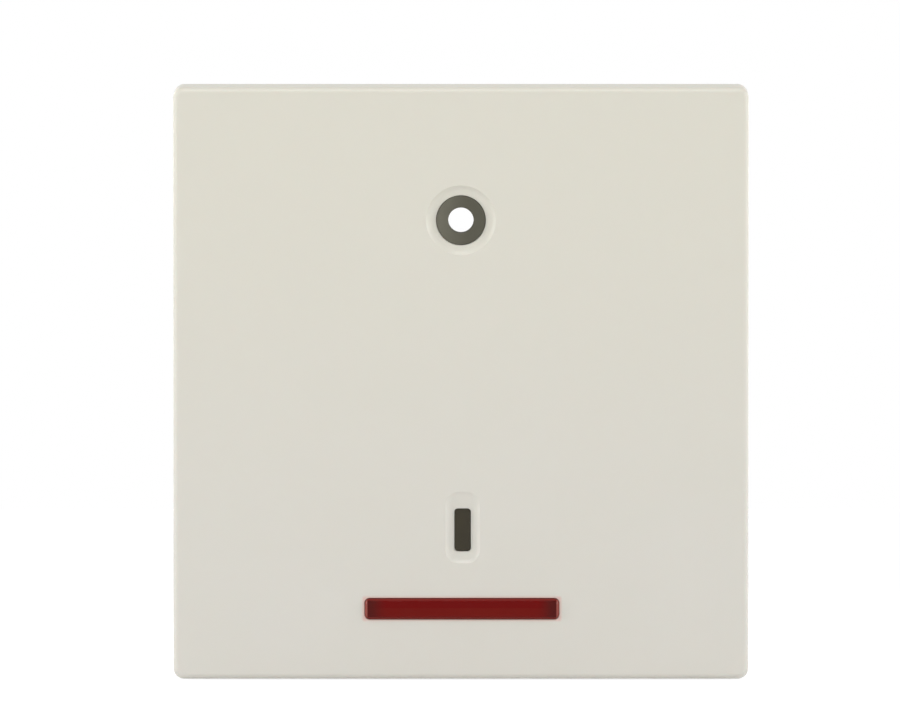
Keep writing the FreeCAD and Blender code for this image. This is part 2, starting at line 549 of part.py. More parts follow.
def make_rocker_plate():
    body = new_body("rocker_plate")
    shell = pad(
        body, "face", [rounded("0", "0", "key_width", "key_height", "key_corner")],
        KEY_FRONT, KEY_SKIRT_END,
    )
    trim(body, "Fillet", shell, KEY_FRONT, "key_edge")
    inside = rounded(
        "0", "0", "key_width - 2 * key_skirt", "key_height - 2 * key_skirt", "key_inner_corner"
    )
    pocket(body, "face", [inside], KEY_BACK, KEY_SKIRT_END)

    # Symbol recesses, and the holes that the inlays come through
    off_recess = circle("0", "off_height", "off_recess_radius")
    on_recess = rounded(
        "0", "on_recess_rise - on_drop", "on_recess_width", "on_recess_height", "on_recess_corner"
    )
    pocket(body, "face", [off_recess], KEY_FRONT, RECESS_FLOOR, "recess_slope")
    pocket(body, "face", [on_recess], KEY_FRONT, RECESS_FLOOR, "recess_slope")
    holes = [
        circle("0", "off_height", "off_ring_radius + inlay_gap"),
        rounded("0", "-on_drop", "on_bar_width + 2 * inlay_gap",
                "on_bar_height + 2 * inlay_gap", "on_bar_corner"),
        rounded("0", "-lens_drop", "lens_width + 2 * inlay_gap",
                "lens_height + 2 * inlay_gap", "lens_corner"),
    ]
    pocket(body, "face", holes, KEY_FRONT, KEY_BACK)

    # Ribs behind the face, and the two seats on the cradle
    rib_end = f"({KEY_BACK} + rib_depth)"
    cross_ribs = [
        box("-rib_place", "rib_top", "rib_place", "rib_top + rib_thickness"),
        box("-rib_place", "-rib_bottom", "rib_place", "rib_thickness - rib_bottom"),
    ]
    pad(body, "face", cross_ribs, KEY_BACK, rib_end)
    upright_ribs = [
        box(f"{sign} * (rib_place - rib_thickness)", "-rib_bottom",
            f"{sign} * rib_place", "rib_top + rib_thickness")
        for _, sign in SIDES
    ]
    pad(body, "face", upright_ribs, KEY_BACK, rib_end)
    seats = [
        box(f"{sign} * (seat_place - rib_thickness / 2)", "-seat_length / 2",
            f"{sign} * (seat_place + rib_thickness / 2)", "seat_length / 2")
        for _, sign in SIDES
    ]
    pad(body, "face", seats, KEY_BACK, CRADLE_FRONT)

    # Four hooks through the cradle, each with its barb behind it
    stems = [
        box(f"{across} * (hook_place - hook_width / 2)", f"{up} * (hook_height - hook_thickness / 2)",
            f"{across} * (hook_place + hook_width / 2)", f"{up} * (hook_height + hook_thickness / 2)")
        for across, up in CORNERS
    ]
    barb_front = f"({CRADLE_BACK} + inlay_gap)"
    barb_end = f"({barb_front} + hook_nose)"
    pad(body, "face", stems, KEY_BACK, barb_end)
    for _, sign in SIDES:
        barbs = [
            polygon(
                (barb_front, f"{up} * hook_height"),
                (barb_front, f"{up} * (hook_height + hook_thickness / 2 + hook_barb)"),
                (barb_end, f"{up} * (hook_height + hook_thickness / 4)"),
                (barb_end, f"{up} * hook_height"),
            )
            for up in (-1, 1)
        ]
        low, high = span(sign, "(hook_place - hook_width / 2)", "(hook_place + hook_width / 2)")
        pad(body, "side", barbs, low, high)
    on_rocker(body)


def make_off_ring():
    body = new_body("off_symbol_ring")
    front = f"({RECESS_FLOOR} - symbol_proud)"
    ring = pad(body, "face", [circle("0", "off_height", "off_ring_radius")], front, KEY_BACK)
    trim(body, "Chamfer", ring, front, "symbol_bevel")
    pad(body, "face", [circle("0", "off_height", "off_flange_radius")], KEY_BACK, FLANGE_BACK)
    pocket(body, "face", [circle("0", "off_height", "off_hole_radius")], front, FLANGE_BACK)
    on_rocker(body)


def make_on_bar():
    body = new_body("on_symbol_bar")
    front = f"({RECESS_FLOOR} - symbol_proud)"
    bar = pad(
        body, "face",
        [rounded("0", "-on_drop", "on_bar_width", "on_bar_height", "on_bar_corner")],
        front, KEY_BACK,
    )
    trim(body, "Chamfer", bar, front, "symbol_bevel")
    flange = rounded("0", "-on_drop", "on_flange_width", "on_flange_height", "on_flange_corner")
    pad(body, "face", [flange], KEY_BACK, FLANGE_BACK)
    on_rocker(body)


def make_lens():
    body = new_body("indicator_lens")
    front = "(-key_front - lens_proud)"
    window = pad(
        body, "face", [rounded("0", "-lens_drop", "lens_width", "lens_height", "lens_corner")],
        front, KEY_BACK,
    )
    trim(body, "Chamfer", window, front, "lens_bevel")
    flange = rounded("0", "-lens_drop", "lens_flange_width", "lens_flange_height", "lens_corner")
    pad(body, "face", [flange], KEY_BACK, GUIDE_FRONT)
    guide = box(
        "-guide_width / 2", "-lens_drop - lens_flange_height / 2",
        "guide_width / 2", "bulb_radius / 2 - lamp_drop",
    )
    pad(body, "face", [guide], GUIDE_FRONT, f"({GUIDE_FRONT} + guide_thickness)")
    on_rocker(body)


def make_cradle():
    body = new_body("rocker_cradle")
    plate = box("-cradle_width / 2", "-cradle_height / 2", "cradle_width / 2", "cradle_height / 2")
    pad(body, "face", [plate], CRADLE_FRONT, CRADLE_BACK)
    windows = [
        box(f"{across} * (hook_place - hook_width / 2 - hook_gap)",
            f"{up} * (hook_height - hook_thickness / 2 - hook_gap)",
            f"{across} * (hook_place + hook_width / 2 + hook_gap)",
            f"{up} * (hook_height + hook_thickness / 2 + hook_gap / 2)")
        for across, up in CORNERS
    ]
    lamp_notch = box("-notch_width / 2", "-cradle_height / 2", "notch_width / 2", "-notch_drop")
    pocket(body, "face", windows + [lamp_notch], CRADLE_FRONT, CRADLE_BACK)

    # Cheeks and trunnions, then the two tubes that guide the plungers
    for _, sign in SIDES:
        low, high = span(sign, CHEEK_NEAR, CHEEK_FAR)
        cheek = polygon(
            (CRADLE_BACK, "-cheek_half"), ("0", "-cheek_radius"),
            ("0", "cheek_radius"), (CRADLE_BACK, "cheek_half"),
        )
        pad(body, "side", [cheek], low, high)
        pad(body, "side", [circle("0", "0", "cheek_radius")], low, high)
        low, high = span(sign, CHEEK_FAR, f"({CHEEK_FAR} + trunnion_length)")
        pad(body, "side", [circle("0", "0", "trunnion_radius")], low, high)
    tubes = [circle(f"{sign} * pole_place", "0", "arm_radius") for _, sign in SIDES]
    pad(body, "face", tubes, CRADLE_BACK, "arm_reach")
    bores = [circle(f"{sign} * pole_place", "0", TUBE_RADIUS) for _, sign in SIDES]
    pocket(body, "face", bores, TUBE_FLOOR, "arm_reach")
    on_rocker(body)


def make_plunger(side, sign):
    body = new_body(f"plunger_{side}")
    nose_middle = f"({NOSE_TIP} - plunger_nose)"
    turn(body, polygon(
        ("plunger_tail", "0"),
        ("plunger_tail", "plunger_radius"),
        (f"{nose_middle} - plunger_cone", "plunger_radius"),
        (nose_middle, "plunger_nose"),
        (NOSE_TIP, "plunger_nose"),
        (NOSE_TIP, "0"),
    ))
    trim(body, "Fillet", body.Tip, NOSE_TIP, "plunger_nose - nose_flat")
    hollow = circle("0", "0", "plunger_hollow")
    pocket(body, "face", [hollow], "plunger_tail", "(plunger_tail + plunger_hollow_depth)")
    place(body, across=f"{sign} * pole_place", depth="-pivot_front", tilt="rest_tilt")


def make_plunger_spring(side, sign):
    body = new_body(f"plunger_spring_{side}")
    start = f"({TUBE_FLOOR} + coil_wire)"
    length = f"(plunger_tail + plunger_hollow_depth - {TUBE_FLOOR} - 2 * coil_wire)"
    feature = body.newObject("PartDesign::AdditiveHelix", "plunger_spring_coil")
    sketch = draw(body, "side", "0", [circle(start, "coil_radius", "coil_wire")])
    feature.Profile = sketch
    feature.ReferenceAxis = (sketch, ["H_Axis"])
    feature.Mode = "height-turns-angle"
    feature.setExpression("Height", bound(length))
    feature.setExpression("Turns", bound("coil_turns"))
    body.Tip = feature
    place(body, across=f"{sign} * pole_place", depth="-pivot_front", tilt="rest_tilt")


# Contacts: one tilting strip with a silver tip for each pole

def on_contact(body, sign):
    """Put a body that is drawn about the contact rocker's axis where that rocker rests."""
    place(body, across=f"{sign} * pole_place", depth="contact_pivot", tilt=f"-{CONTACT_TILT}")


def make_contact(side, sign):
    body = new_body(f"contact_rocker_{side}")
    strip = box("-contact_width / 2", "-contact_length / 2", "contact_width / 2", "contact_length / 2")
    strip_back = "(contact_thickness - contact_front)"
    pad(body, "face", [strip], "-contact_front", strip_back)
    ridge = circle("0", "0", "journal_radius")
    pad(body, "side", [ridge], "-contact_width / 2", "contact_width / 2")
    on_contact(body, sign)

    tip = new_body(f"moving_tip_{side}")
    button = pad(tip, "face", [circle("0", "tip_arm", "tip_radius")], strip_back, "tip_back")
    trim(tip, "Chamfer", button, "tip_back", "tip_bevel")
    on_contact(tip, sign)

    fixed = new_body(f"fixed_tip_{side}")
    outline = circle(f"{sign} * pole_place", TIP_HEIGHT, "tip_radius")
    pad(fixed, "face", [outline], TIP_FACE, STRIP_FRONT)


def make_terminals(side, sign):
    near, far = f"{sign} * strip_near", f"{sign} * strip_far"
    edge = f"{sign} * {CLAMP_FAR}"
    clamp_low, clamp_high = span(sign, CLAMP_NEAR, CLAMP_FAR)

    line = new_body(f"line_terminal_{side}")
    plate = polygon(
        (near, "strip_low"), (edge, "strip_low"), (edge, "strip_high"),
        (far, "strip_high"), (far, "line_top"), (near, "line_top"),
    )
    pad(line, "face", [plate], STRIP_FRONT, "chamber_floor")
    clamp = box("clamp_front", "strip_low", "clamp_back", "clamp_high")
    pad(line, "side", [clamp], clamp_low, clamp_high)

    load = new_body(f"load_terminal_{side}")
    plate = polygon(
        (near, "saddle_half"), (far, "saddle_half"), (far, "-strip_low"),
        (edge, "-strip_low"), (edge, "-strip_high"), (near, "-strip_high"),
    )
    pad(load, "face", [plate], STRIP_FRONT, "chamber_floor")
    clamp = box("clamp_front", "-strip_low", "clamp_back", "-clamp_high")
    pad(load, "side", [clamp], clamp_low, clamp_high)
    saddle = box(near, "-saddle_half", far, "saddle_half")
    pad(load, "face", [saddle], "(contact_pivot + saddle_sink)", STRIP_FRONT)
    low, high = span(sign, "(strip_near - cut_past)", "(strip_far + cut_past)")
    groove = circle("contact_pivot", "0", "journal_radius + journal_gap")
    pocket(load, "side", [groove], low, high)

    # The tab that feeds the lamp stands up beside the contact rocker
    tab_foot = box(f"{sign} * {TAB_NEAR}", "-pin_drop - tab_half", near, "-(strip_low + strip_high) / 2")
    pad(load, "face", [tab_foot], STRIP_FRONT, "chamber_floor")
    tab = box(
        f"{sign} * {TAB_NEAR}", "-pin_drop - tab_half",
        f"{sign} * ({TAB_NEAR} + tab_thickness)", "tab_half - pin_drop",
    )
    pad(load, "face", [tab], "(pin_back - 2 * pin_radius)", STRIP_FRONT)


def make_clamp_spring(side, sign, level, up):
    """A leaf that is folded over at the back and grips the wire against the clamping plate."""
    body = new_body(f"clamp_spring_{level}_{side}")
    wall = "(wire_room_near + window_gap)"
    inside = f"({wall} + clip_thickness)"
    top = "(wire_place + wire_radius / 2)"
    outline = [
        (wall, "clip_front"), (wall, "clip_bend"),
        (f"({wall} + 2 * clip_thickness)", "(clip_bend + 2 * clip_thickness)"),
        (f"({wall} + 4 * clip_thickness)", "(clip_bend + clip_thickness)"),
        (top, "(clip_tip + clip_thickness)"), (f"({top} - clip_thickness / 2)", "clip_tip"),
        (f"({wall} + 3 * clip_thickness)", "clip_bend"),
        (f"({wall} + 2 * clip_thickness)", "(clip_bend + clip_thickness)"),
        (inside, "clip_bend"), (inside, "clip_front"),
    ]
    profile = polygon(*[(f"{sign} * {across}", depth) for across, depth in outline])
    low, high = span(up, "(wire_height - clip_width / 2)", "(wire_height + clip_width / 2)")
    pad(body, "plan", [profile], low, high)


# Housing: support ring, bearing frame, socket base, rear cover and their screws

def make_support_ring():
    body = new_body("support_ring")
    half_width, half_height = "ring_width / 2", "ring_height / 2"
    sheet_outline = polygon(*[
        (f"{across} * ({half_width}{cut_u})", f"{up} * ({half_height}{cut_v})")
        for across, up, cut_u, cut_v in (
            (1, 1, "", " - ring_corner"), (1, 1, " - ring_corner", ""),
            (-1, 1, " - ring_corner", ""), (-1, 1, "", " - ring_corner"),
            (-1, -1, "", " - ring_corner"), (-1, -1, " - ring_corner", ""),
            (1, -1, " - ring_corner", ""), (1, -1, "", " - ring_corner"),
        )
    ])
    pad(body, "face", [sheet_outline], RING_FRONT, "0")
    opening = rounded(
        "0", "0", "socket_width + 2 * socket_fit", "socket_height + 2 * socket_fit", "socket_corner"
    )
    pocket(body, "face", [opening], RING_FRONT, "0")
    sight_notch = box("-ring_notch_width / 2", "0", "ring_notch_width / 2", "ring_notch_top")
    pocket(body, "face", [sight_notch], RING_FRONT, "0")
    holes = [circle(f"{sign} * claw_place", "0", "claw_shank + 4 * thread_gap") for _, sign in SIDES]
    holes += [
        circle(f"{across} * screw_place", f"{up} * screw_height", "screw_radius + 4 * thread_gap")
        for across, up in CORNERS
    ]
    pocket(body, "face", holes, RING_FRONT, "0")
    level_slots = [
        slot(f"{sign} * box_spacing / 2", "0", "box_slot_length", "box_slot_radius")
        for _, sign in SIDES
    ]
    pocket(body, "face", level_slots, RING_FRONT, "0")
    upright_slots = [
        slot("0", f"{sign} * box_spacing / 2", "box_slot_length", "box_slot_radius", upright=True)
        for _, sign in SIDES
    ]
    pocket(body, "face", upright_slots, RING_FRONT, "0")


def make_bearing_frame():
    body = new_body("bearing_frame")
    plate = rounded("0", "0", "frame_width", "frame_height", "socket_corner")
    pad(body, "face", [plate], FRAME_FRONT, RING_FRONT)
    ears = [
        circle(f"{across} * screw_place", f"{up} * screw_height", "screw_ear_radius")
        for across, up in CORNERS
    ]
    pad(body, "face", ears, FRAME_FRONT, RING_FRONT)

    # Openings for the plunger tubes and the lamp, notches for the claw screws and the sight path
    tube_side = "(arm_radius + arm_opening_gap)"
    cuts = [
        box(f"{sign} * (pole_place - {tube_side})", "-arm_opening_half",
            f"{sign} * (pole_place + {tube_side})", "arm_opening_half")
        for _, sign in SIDES
    ]
    cuts.append(box(
        "-holder_width / 2 - lamp_opening_gap", f"-{HOLDER_BOTTOM} - lamp_opening_gap",
        "holder_width / 2 + lamp_opening_gap", f"lamp_opening_gap - {HOLDER_TOP}",
    ))
    cuts.append(box(
        "-sight_notch_width / 2", "frame_height / 2 - sight_notch_depth",
        "sight_notch_width / 2", "frame_height / 2 + cut_past",
    ))
    cuts += [
        circle(f"{sign} * claw_place", "0", "claw_head_radius + claw_head_gap") for _, sign in SIDES
    ]
    cuts += [
        circle(f"{across} * screw_place", f"{up} * screw_height", "screw_radius + 4 * thread_gap")
        for across, up in CORNERS
    ]
    pocket(body, "face", cuts, FRAME_FRONT, RING_FRONT)

    # Bearing ears for the trunnions
    axis = "-pivot_front"
    for _, sign in SIDES:
        low, high = span(sign, EAR_NEAR, EAR_FAR)
        ear = box(axis, "-ear_radius", FRAME_FRONT, "ear_radius")
        pad(body, "side", [ear], low, high)
        pad(body, "side", [circle(axis, "0", "ear_radius")], low, high)
        pocket(body, "side", [circle(axis, "0", "trunnion_radius + bearing_gap")], low, high)
    stops = [
        box(f"{across} * stop_near", f"{up} * stop_inner", f"{across} * stop_far", f"{up} * stop_outer")
        for across, up in CORNERS
    ]
    pad(body, "face", stops, STOP_FRONT, FRAME_FRONT)


def make_socket_base():
    body = new_body("socket_base")
    block = rounded("0", "0", "socket_width", "socket_height", "socket_corner")
    pad(body, "face", [block], RING_FRONT, "socket_back")
    arms = [
        box(f"{across} * chamber_far", f"{up} * (screw_height - screw_ear_radius)",
            f"{across} * screw_place", f"{up} * (screw_height + screw_ear_radius)")
        for across, up in CORNERS
    ]
    pad(body, "face", arms, "0", "screw_ear_depth")
    ears = [
        circle(f"{across} * screw_place", f"{up} * screw_height", "screw_ear_radius")
        for across, up in CORNERS
    ]
    pad(body, "face", ears, "0", "screw_ear_depth")
    pilots = [
        circle(f"{across} * screw_place", f"{up} * screw_height", "screw_radius + thread_gap")
        for across, up in CORNERS
    ]
    pocket(body, "face", pilots, "0", "screw_ear_depth")

    # Contact chambers open to the front, with a rib that stops the open contact rocker
    chambers = [
        box(f"{sign} * chamber_near", "-chamber_half", f"{sign} * chamber_far", "chamber_half")
        for _, sign in SIDES
    ]
    pocket(body, "face", chambers, RING_FRONT, "chamber_floor")
    ribs = [
        box(f"{sign} * (pole_place - contact_width / 2)", "-rib_far",
            f"{sign} * (pole_place + contact_width / 2)", "-rib_near")
        for _, sign in SIDES
    ]
    pad(body, "face", ribs, RIB_FRONT, "chamber_floor")

    # Terminal chambers open to the back, and the windows that the strips go through
    rooms = [
        box(f"{across} * wire_room_near", f"{up} * wire_room_low",
            f"{across} * wire_room_far", f"{up} * wire_room_high")
        for across, up in CORNERS
    ]
    pocket(body, "face", rooms, "wire_room_front", "socket_back")
    windows = [
        box(f"{across} * (chamber_far - window_gap)", f"{up} * (strip_low - window_gap)",
            f"{across} * (wire_room_near + window_gap)", f"{up} * (strip_high + window_gap)")
        for across, up in CORNERS
    ]
    pocket(body, "face", windows, f"({STRIP_FRONT} - window_gap)", "chamber_floor")

    # Lamp pocket, with a slot each side for the lamp's contact pin
    lamp_room = box(
        "-holder_width / 2 - holder_gap", f"-{HOLDER_BOTTOM} - holder_gap",
        "holder_width / 2 + holder_gap", f"holder_gap - {HOLDER_TOP}",
    )
    pocket(body, "face", [lamp_room], RING_FRONT, "(holder_back + holder_gap)")
    pin_slot = box(
        "-chamber_near - window_gap", "-pin_drop - pin_radius - window_gap",
        "chamber_near + window_gap", "pin_radius + window_gap - pin_drop",
    )
    pocket(body, "face", [pin_slot], RING_FRONT, "(pin_back + pin_radius + window_gap)")

    # Catches for the rear cover's clips
    catches = [
        box(f"{across} * (cover_clip_place - cover_clip_width / 2 - catch_play)",
            f"{up} * (socket_height / 2 - catch_depth)",
            f"{across} * (cover_clip_place + cover_clip_width / 2 + catch_play)",
            f"{up} * (socket_height / 2 + cut_past)")
        for across, up in CORNERS
    ]
    clip_end = "(socket_back - cover_clip_reach)"
    pocket(
        body, "face", catches,
        f"({clip_end} - catch_play)", f"({clip_end} + cover_clip_nose + catch_play)",
    )


def make_rear_cover():
    body = new_body("rear_cover")
    plate = rounded("0", "0", "socket_width", "socket_height", "socket_corner")
    pad(body, "face", [plate], "socket_back", COVER_BACK)
    channels = [
        box(f"{sign} * (lever_place - lever_thickness / 2 - lever_gap)", "-lever_half - lever_gap",
            f"{sign} * (lever_place + lever_thickness / 2 + lever_gap)", "lever_half + lever_gap")
        for _, sign in SIDES
    ]
    pocket(body, "face", channels, CHANNEL_FLOOR, COVER_BACK)
    prong_slots = [
        box(f"{across} * (lever_place - lever_thickness / 2 - lever_gap)",
            f"{up} * (prong_low - lever_gap)",
            f"{across} * (lever_place + lever_thickness / 2 + lever_gap)",
            f"{up} * (prong_high + lever_gap)")
        for across, up in CORNERS
    ]
    wire_holes = [
        circle(f"{across} * wire_place", f"{up} * wire_height", "wire_radius")
        for across, up in CORNERS
    ]
    pocket(body, "face", prong_slots, "socket_back", COVER_BACK)
    pocket(body, "face", wire_holes, "socket_back", COVER_BACK)

    # Clips along the socket's top and bottom, each with a barb in its catch
    inner = "(socket_height / 2 + cover_clip_gap)"
    outer = f"({inner} + cover_clip_thickness)"
    roots = [
        box(f"{across} * (cover_clip_place - cover_clip_width / 2)", f"{up} * (socket_height / 2 - socket_corner)",
            f"{across} * (cover_clip_place + cover_clip_width / 2)", f"{up} * {outer}")
        for across, up in CORNERS
    ]
    pad(body, "face", roots, "socket_back", COVER_BACK)
    legs = [
        box(f"{across} * (cover_clip_place - cover_clip_width / 2)", f"{up} * {inner}",
            f"{across} * (cover_clip_place + cover_clip_width / 2)", f"{up} * {outer}")
        for across, up in CORNERS
    ]
    front = "(socket_back - cover_clip_reach)"
    pad(body, "face", legs, front, "socket_back")
    for _, sign in SIDES:
        barbs = [
            polygon(
                (front, f"{up} * {inner}"), (front, f"{up} * {outer}"),
                (f"{front} + cover_clip_nose", f"{up} * {outer}"),
                (f"{front} + cover_clip_nose", f"{up} * ({inner} - cover_clip_barb)"),
                (f"{front} + cover_clip_nose - cover_clip_barb",
                 f"{up} * ({inner} - cover_clip_barb)"),
            )
            for up in (-1, 1)
        ]
        low, high = span(
            sign, "(cover_clip_place - cover_clip_width / 2)", "(cover_clip_place + cover_clip_width / 2)"
        )
        pad(body, "side", barbs, low, high)


def make_release_lever(side, sign):
    body = new_body(f"release_lever_{side}")
    low, high = span(
        sign, "(lever_place - lever_thickness / 2)", "(lever_place + lever_thickness / 2)"
    )
    pad(body, "side", [box(LEVER_FRONT, "-lever_half", LEVER_BACK, "lever_half")], low, high)
    prongs = [
        box(PRONG_FRONT, f"{up} * prong_low", LEVER_FRONT, f"{up} * prong_high") for up in (-1, 1)
    ]
    pad(body, "side", prongs, low, high)


def make_screw(label, head_radius, head, shank, length):
    """A pan-head screw on its own axis, its head's underside at zero, with a cross slot."""
    body = new_body(label)
    turned = turn(body, polygon(
        (f"-({head})", "0"), (f"-({head})", head_radius), ("0", head_radius),
        ("0", shank), (length, shank), (length, "0"),
    ))
    trim(body, "Fillet", turned, f"-({head})", f"({head}) * head_rounding")
    reach = f"({head_radius}) * slot_reach"
    level_slot = box(f"-{reach}", "-slot_width / 2", reach, "slot_width / 2")
    upright_slot = box("-slot_width / 2", f"-{reach}", "slot_width / 2", reach)
    for cross in (level_slot, upright_slot):
        pocket(body, "face", [cross], f"-({head})", f"(slot_depth - ({head}))")
    return body


def make_frame_screws():
    """Four equal screws as one group of separate solids."""
    screws = []
    for number, (across, up) in enumerate(CORNERS, start=1):
        screw = make_screw(
            f"frame_screw_{number}", "screw_head_radius", "screw_head", "screw_radius", "screw_length"
        )
        pieces.remove(screw)
        place(screw, across=f"{across} * screw_place", depth=FRAME_FRONT, height=f"{up} * screw_height")
        screws.append(screw)
    group = doc.addObject("Part::Compound", "frame_screws")
    group.Label = "frame_screws"
    group.Links = screws
    pieces.append(group)


# Claws that spread inside a plain wall box

def make_claw(side, sign):
    screw = make_screw(
        f"claw_screw_{side}", "claw_head_radius", "claw_head", "claw_shank",
        "(claw_screw_end + ring_thickness)",
    )
    place(screw, across=f"{sign} * claw_place", depth=RING_FRONT)

    nut = new_body(f"claw_nut_{side}")
    side_half = "nut_side / 2"
    block = box(
        f"{sign} * claw_place - {side_half}", f"-{side_half}",
        f"{sign} * claw_place + {side_half}", side_half,
    )
    nut_back = "(nut_front + nut_height)"
    pad(nut, "face", [block], "nut_front", nut_back)
    bore = circle(f"{sign} * claw_place", "0", "claw_shank + thread_gap")
    pocket(nut, "face", [bore], "nut_front", nut_back)

    claw = new_body(f"claw_{side}")
    axis = f"{sign} * {CLAW_AXIS_PLACE}"
    leg = box(axis, "claw_front", f"{sign} * claw_outer", CLAW_AXIS_DEPTH)
    foot = box(f"{sign} * claw_inner", CLAW_AXIS_DEPTH, axis, CLAW_BACK)
    bend = quarter(axis, CLAW_AXIS_DEPTH, "claw_thickness", (0, 1) if sign > 0 else (1, 2))
    for outline in (leg, bend, foot):
        pad(claw, "plan", [outline], "-claw_width / 2", "claw_width / 2")
    screw_slot = slot(
        f"{sign} * (claw_slot_near + claw_slot_far) / 2", "0",
        "claw_slot_far - claw_slot_near", "claw_slot_width / 2",
    )
    pocket(claw, "face", [screw_slot], CLAW_AXIS_DEPTH, CLAW_BACK)
    teeth = [
        polygon(
            ("claw_front", f"{number} * tooth_pitch - tooth_half"),
            ("claw_front + claw_tooth", f"{number} * tooth_pitch"),
            ("claw_front", f"{number} * tooth_pitch + tooth_half"),
        )
        for number in (-1, 0, 1)
    ]
    low, high = span(sign, "(claw_outer - 2 * claw_thickness)", "(claw_outer + claw_thickness)")
    pocket(claw, "side", teeth, low, high)


# Lamp: holder, neon bulb with its electrodes, series resistor and contact pins

def make_lamp():
    holder = new_body("lamp_holder")
    block = box(
        "-holder_width / 2", f"-{HOLDER_BOTTOM}", "holder_width / 2", f"-{HOLDER_TOP}"
    )
    pad(holder, "face", [block], "-holder_front", "holder_back")
    pocket(
        holder, "face", [circle("0", "-lamp_drop", "bulb_radius + bulb_gap")],
        "-holder_front", "(bulb_back + bulb_gap)",
    )
    pocket(
        holder, "face", [circle("0", "-lamp_drop", "resistor_radius + bulb_gap")],
        "(bulb_back + bulb_gap)", "holder_back",
    )
    pins_room = box(
        "-holder_width / 2 - cut_past", "-pin_drop - pin_radius",
        "holder_width / 2 + cut_past", "pin_radius - pin_drop",
    )
    pocket(holder, "face", [pins_room], "(pin_back - pin_radius)", "holder_back")

    bulb = new_body("lamp_bulb")
    turn(bulb, polygon(
        ("-bulb_front", "0"), ("-bulb_front", "bulb_radius"), ("bulb_back", "bulb_radius"),
        ("bulb_back", "(bulb_radius - bulb_wall)"),
        ("(bulb_wall - bulb_front)", "(bulb_radius - bulb_wall)"), ("(bulb_wall - bulb_front)", "0"),
    ))
    trim(bulb, "Fillet", bulb.Tip, "-bulb_front", "bulb_dome")
    place(bulb, height="-lamp_drop")

    electrodes = new_body("lamp_electrodes")
    electrodes.AllowCompound = True
    rods = [
        circle(f"{sign} * electrode_place", "-lamp_drop", "electrode_radius") for _, sign in SIDES
    ]
    pad(electrodes, "face", rods, "-electrode_front", "resistor_front")

    resistor = new_body("lamp_resistor")
    pad(
        resistor, "face", [circle("0", "-lamp_drop", "resistor_radius")],
        "resistor_front", "resistor_back",
    )
    pad(
        resistor, "face", [circle("0", "-lamp_drop", "lead_radius")],
        "resistor_back", "(pin_back + pin_radius)",
    )

    pins = new_body("lamp_contact_pins")
    pins.AllowCompound = True
    for _, sign in SIDES:
        low, high = span(sign, "pin_inner", TAB_NEAR)
        pad(pins, "side", [circle("pin_back", "-pin_drop", "pin_radius")], low, high)


def check(body):
    """Stop if anything that the document holds has failed."""
    if body.isDerivedFrom("PartDesign::Pocket") and body.BaseFeature:
        if body.BaseFeature.Shape.Volume - body.Shape.Volume < SMALLEST_CUT:
            raise RuntimeError(f"{body.Name} cuts nothing")
    if {"Invalid", "Error"} & set(body.State):
        raise RuntimeError(f"{body.Name} has failed: {body.State}")


make_rocker_plate()
make_off_ring()
make_on_bar()
make_lens()
make_cradle()
make_support_ring()
make_bearing_frame()
make_socket_base()
make_rear_cover()
make_frame_screws()
make_lamp()
for side, sign in SIDES:
    make_plunger(side, sign)
    make_plunger_spring(side, sign)
    make_contact(side, sign)
    make_terminals(side, sign)
    for level, up in (("upper", 1), ("lower", -1)):
        make_clamp_spring(side, sign, level, up)
    make_release_lever(side, sign)
    make_claw(side, sign)
doc.recompute()

for item in doc.Objects:
    check(item)
os.makedirs("parts", exist_ok=True)
for piece in pieces:
    if piece.Shape.isNull() or not piece.Shape.isValid():
        raise RuntimeError(f"{piece.Label} has no valid shape")
    piece.Shape.exportStep(f"parts/{piece.Label}.step")
    print(piece.Label, len(piece.Shape.Solids), round(piece.Shape.Volume, 2))
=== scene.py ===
"""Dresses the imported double-pole switch: rocker plate, symbols, window, housing, claws and lamp.

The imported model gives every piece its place. Pieces are modelled in millimetres and brought to
metres when they are set in place, so that the small bevels of a moulding keep their precision.
"""

from __future__ import annotations

import json
import logging
import math
from collections.abc import Callable, Iterable, Iterator, Sequence
from contextlib import contextmanager
from dataclasses import dataclass, field
from enum import Enum

import bmesh
import bpy
from mathutils import Matrix, Vector

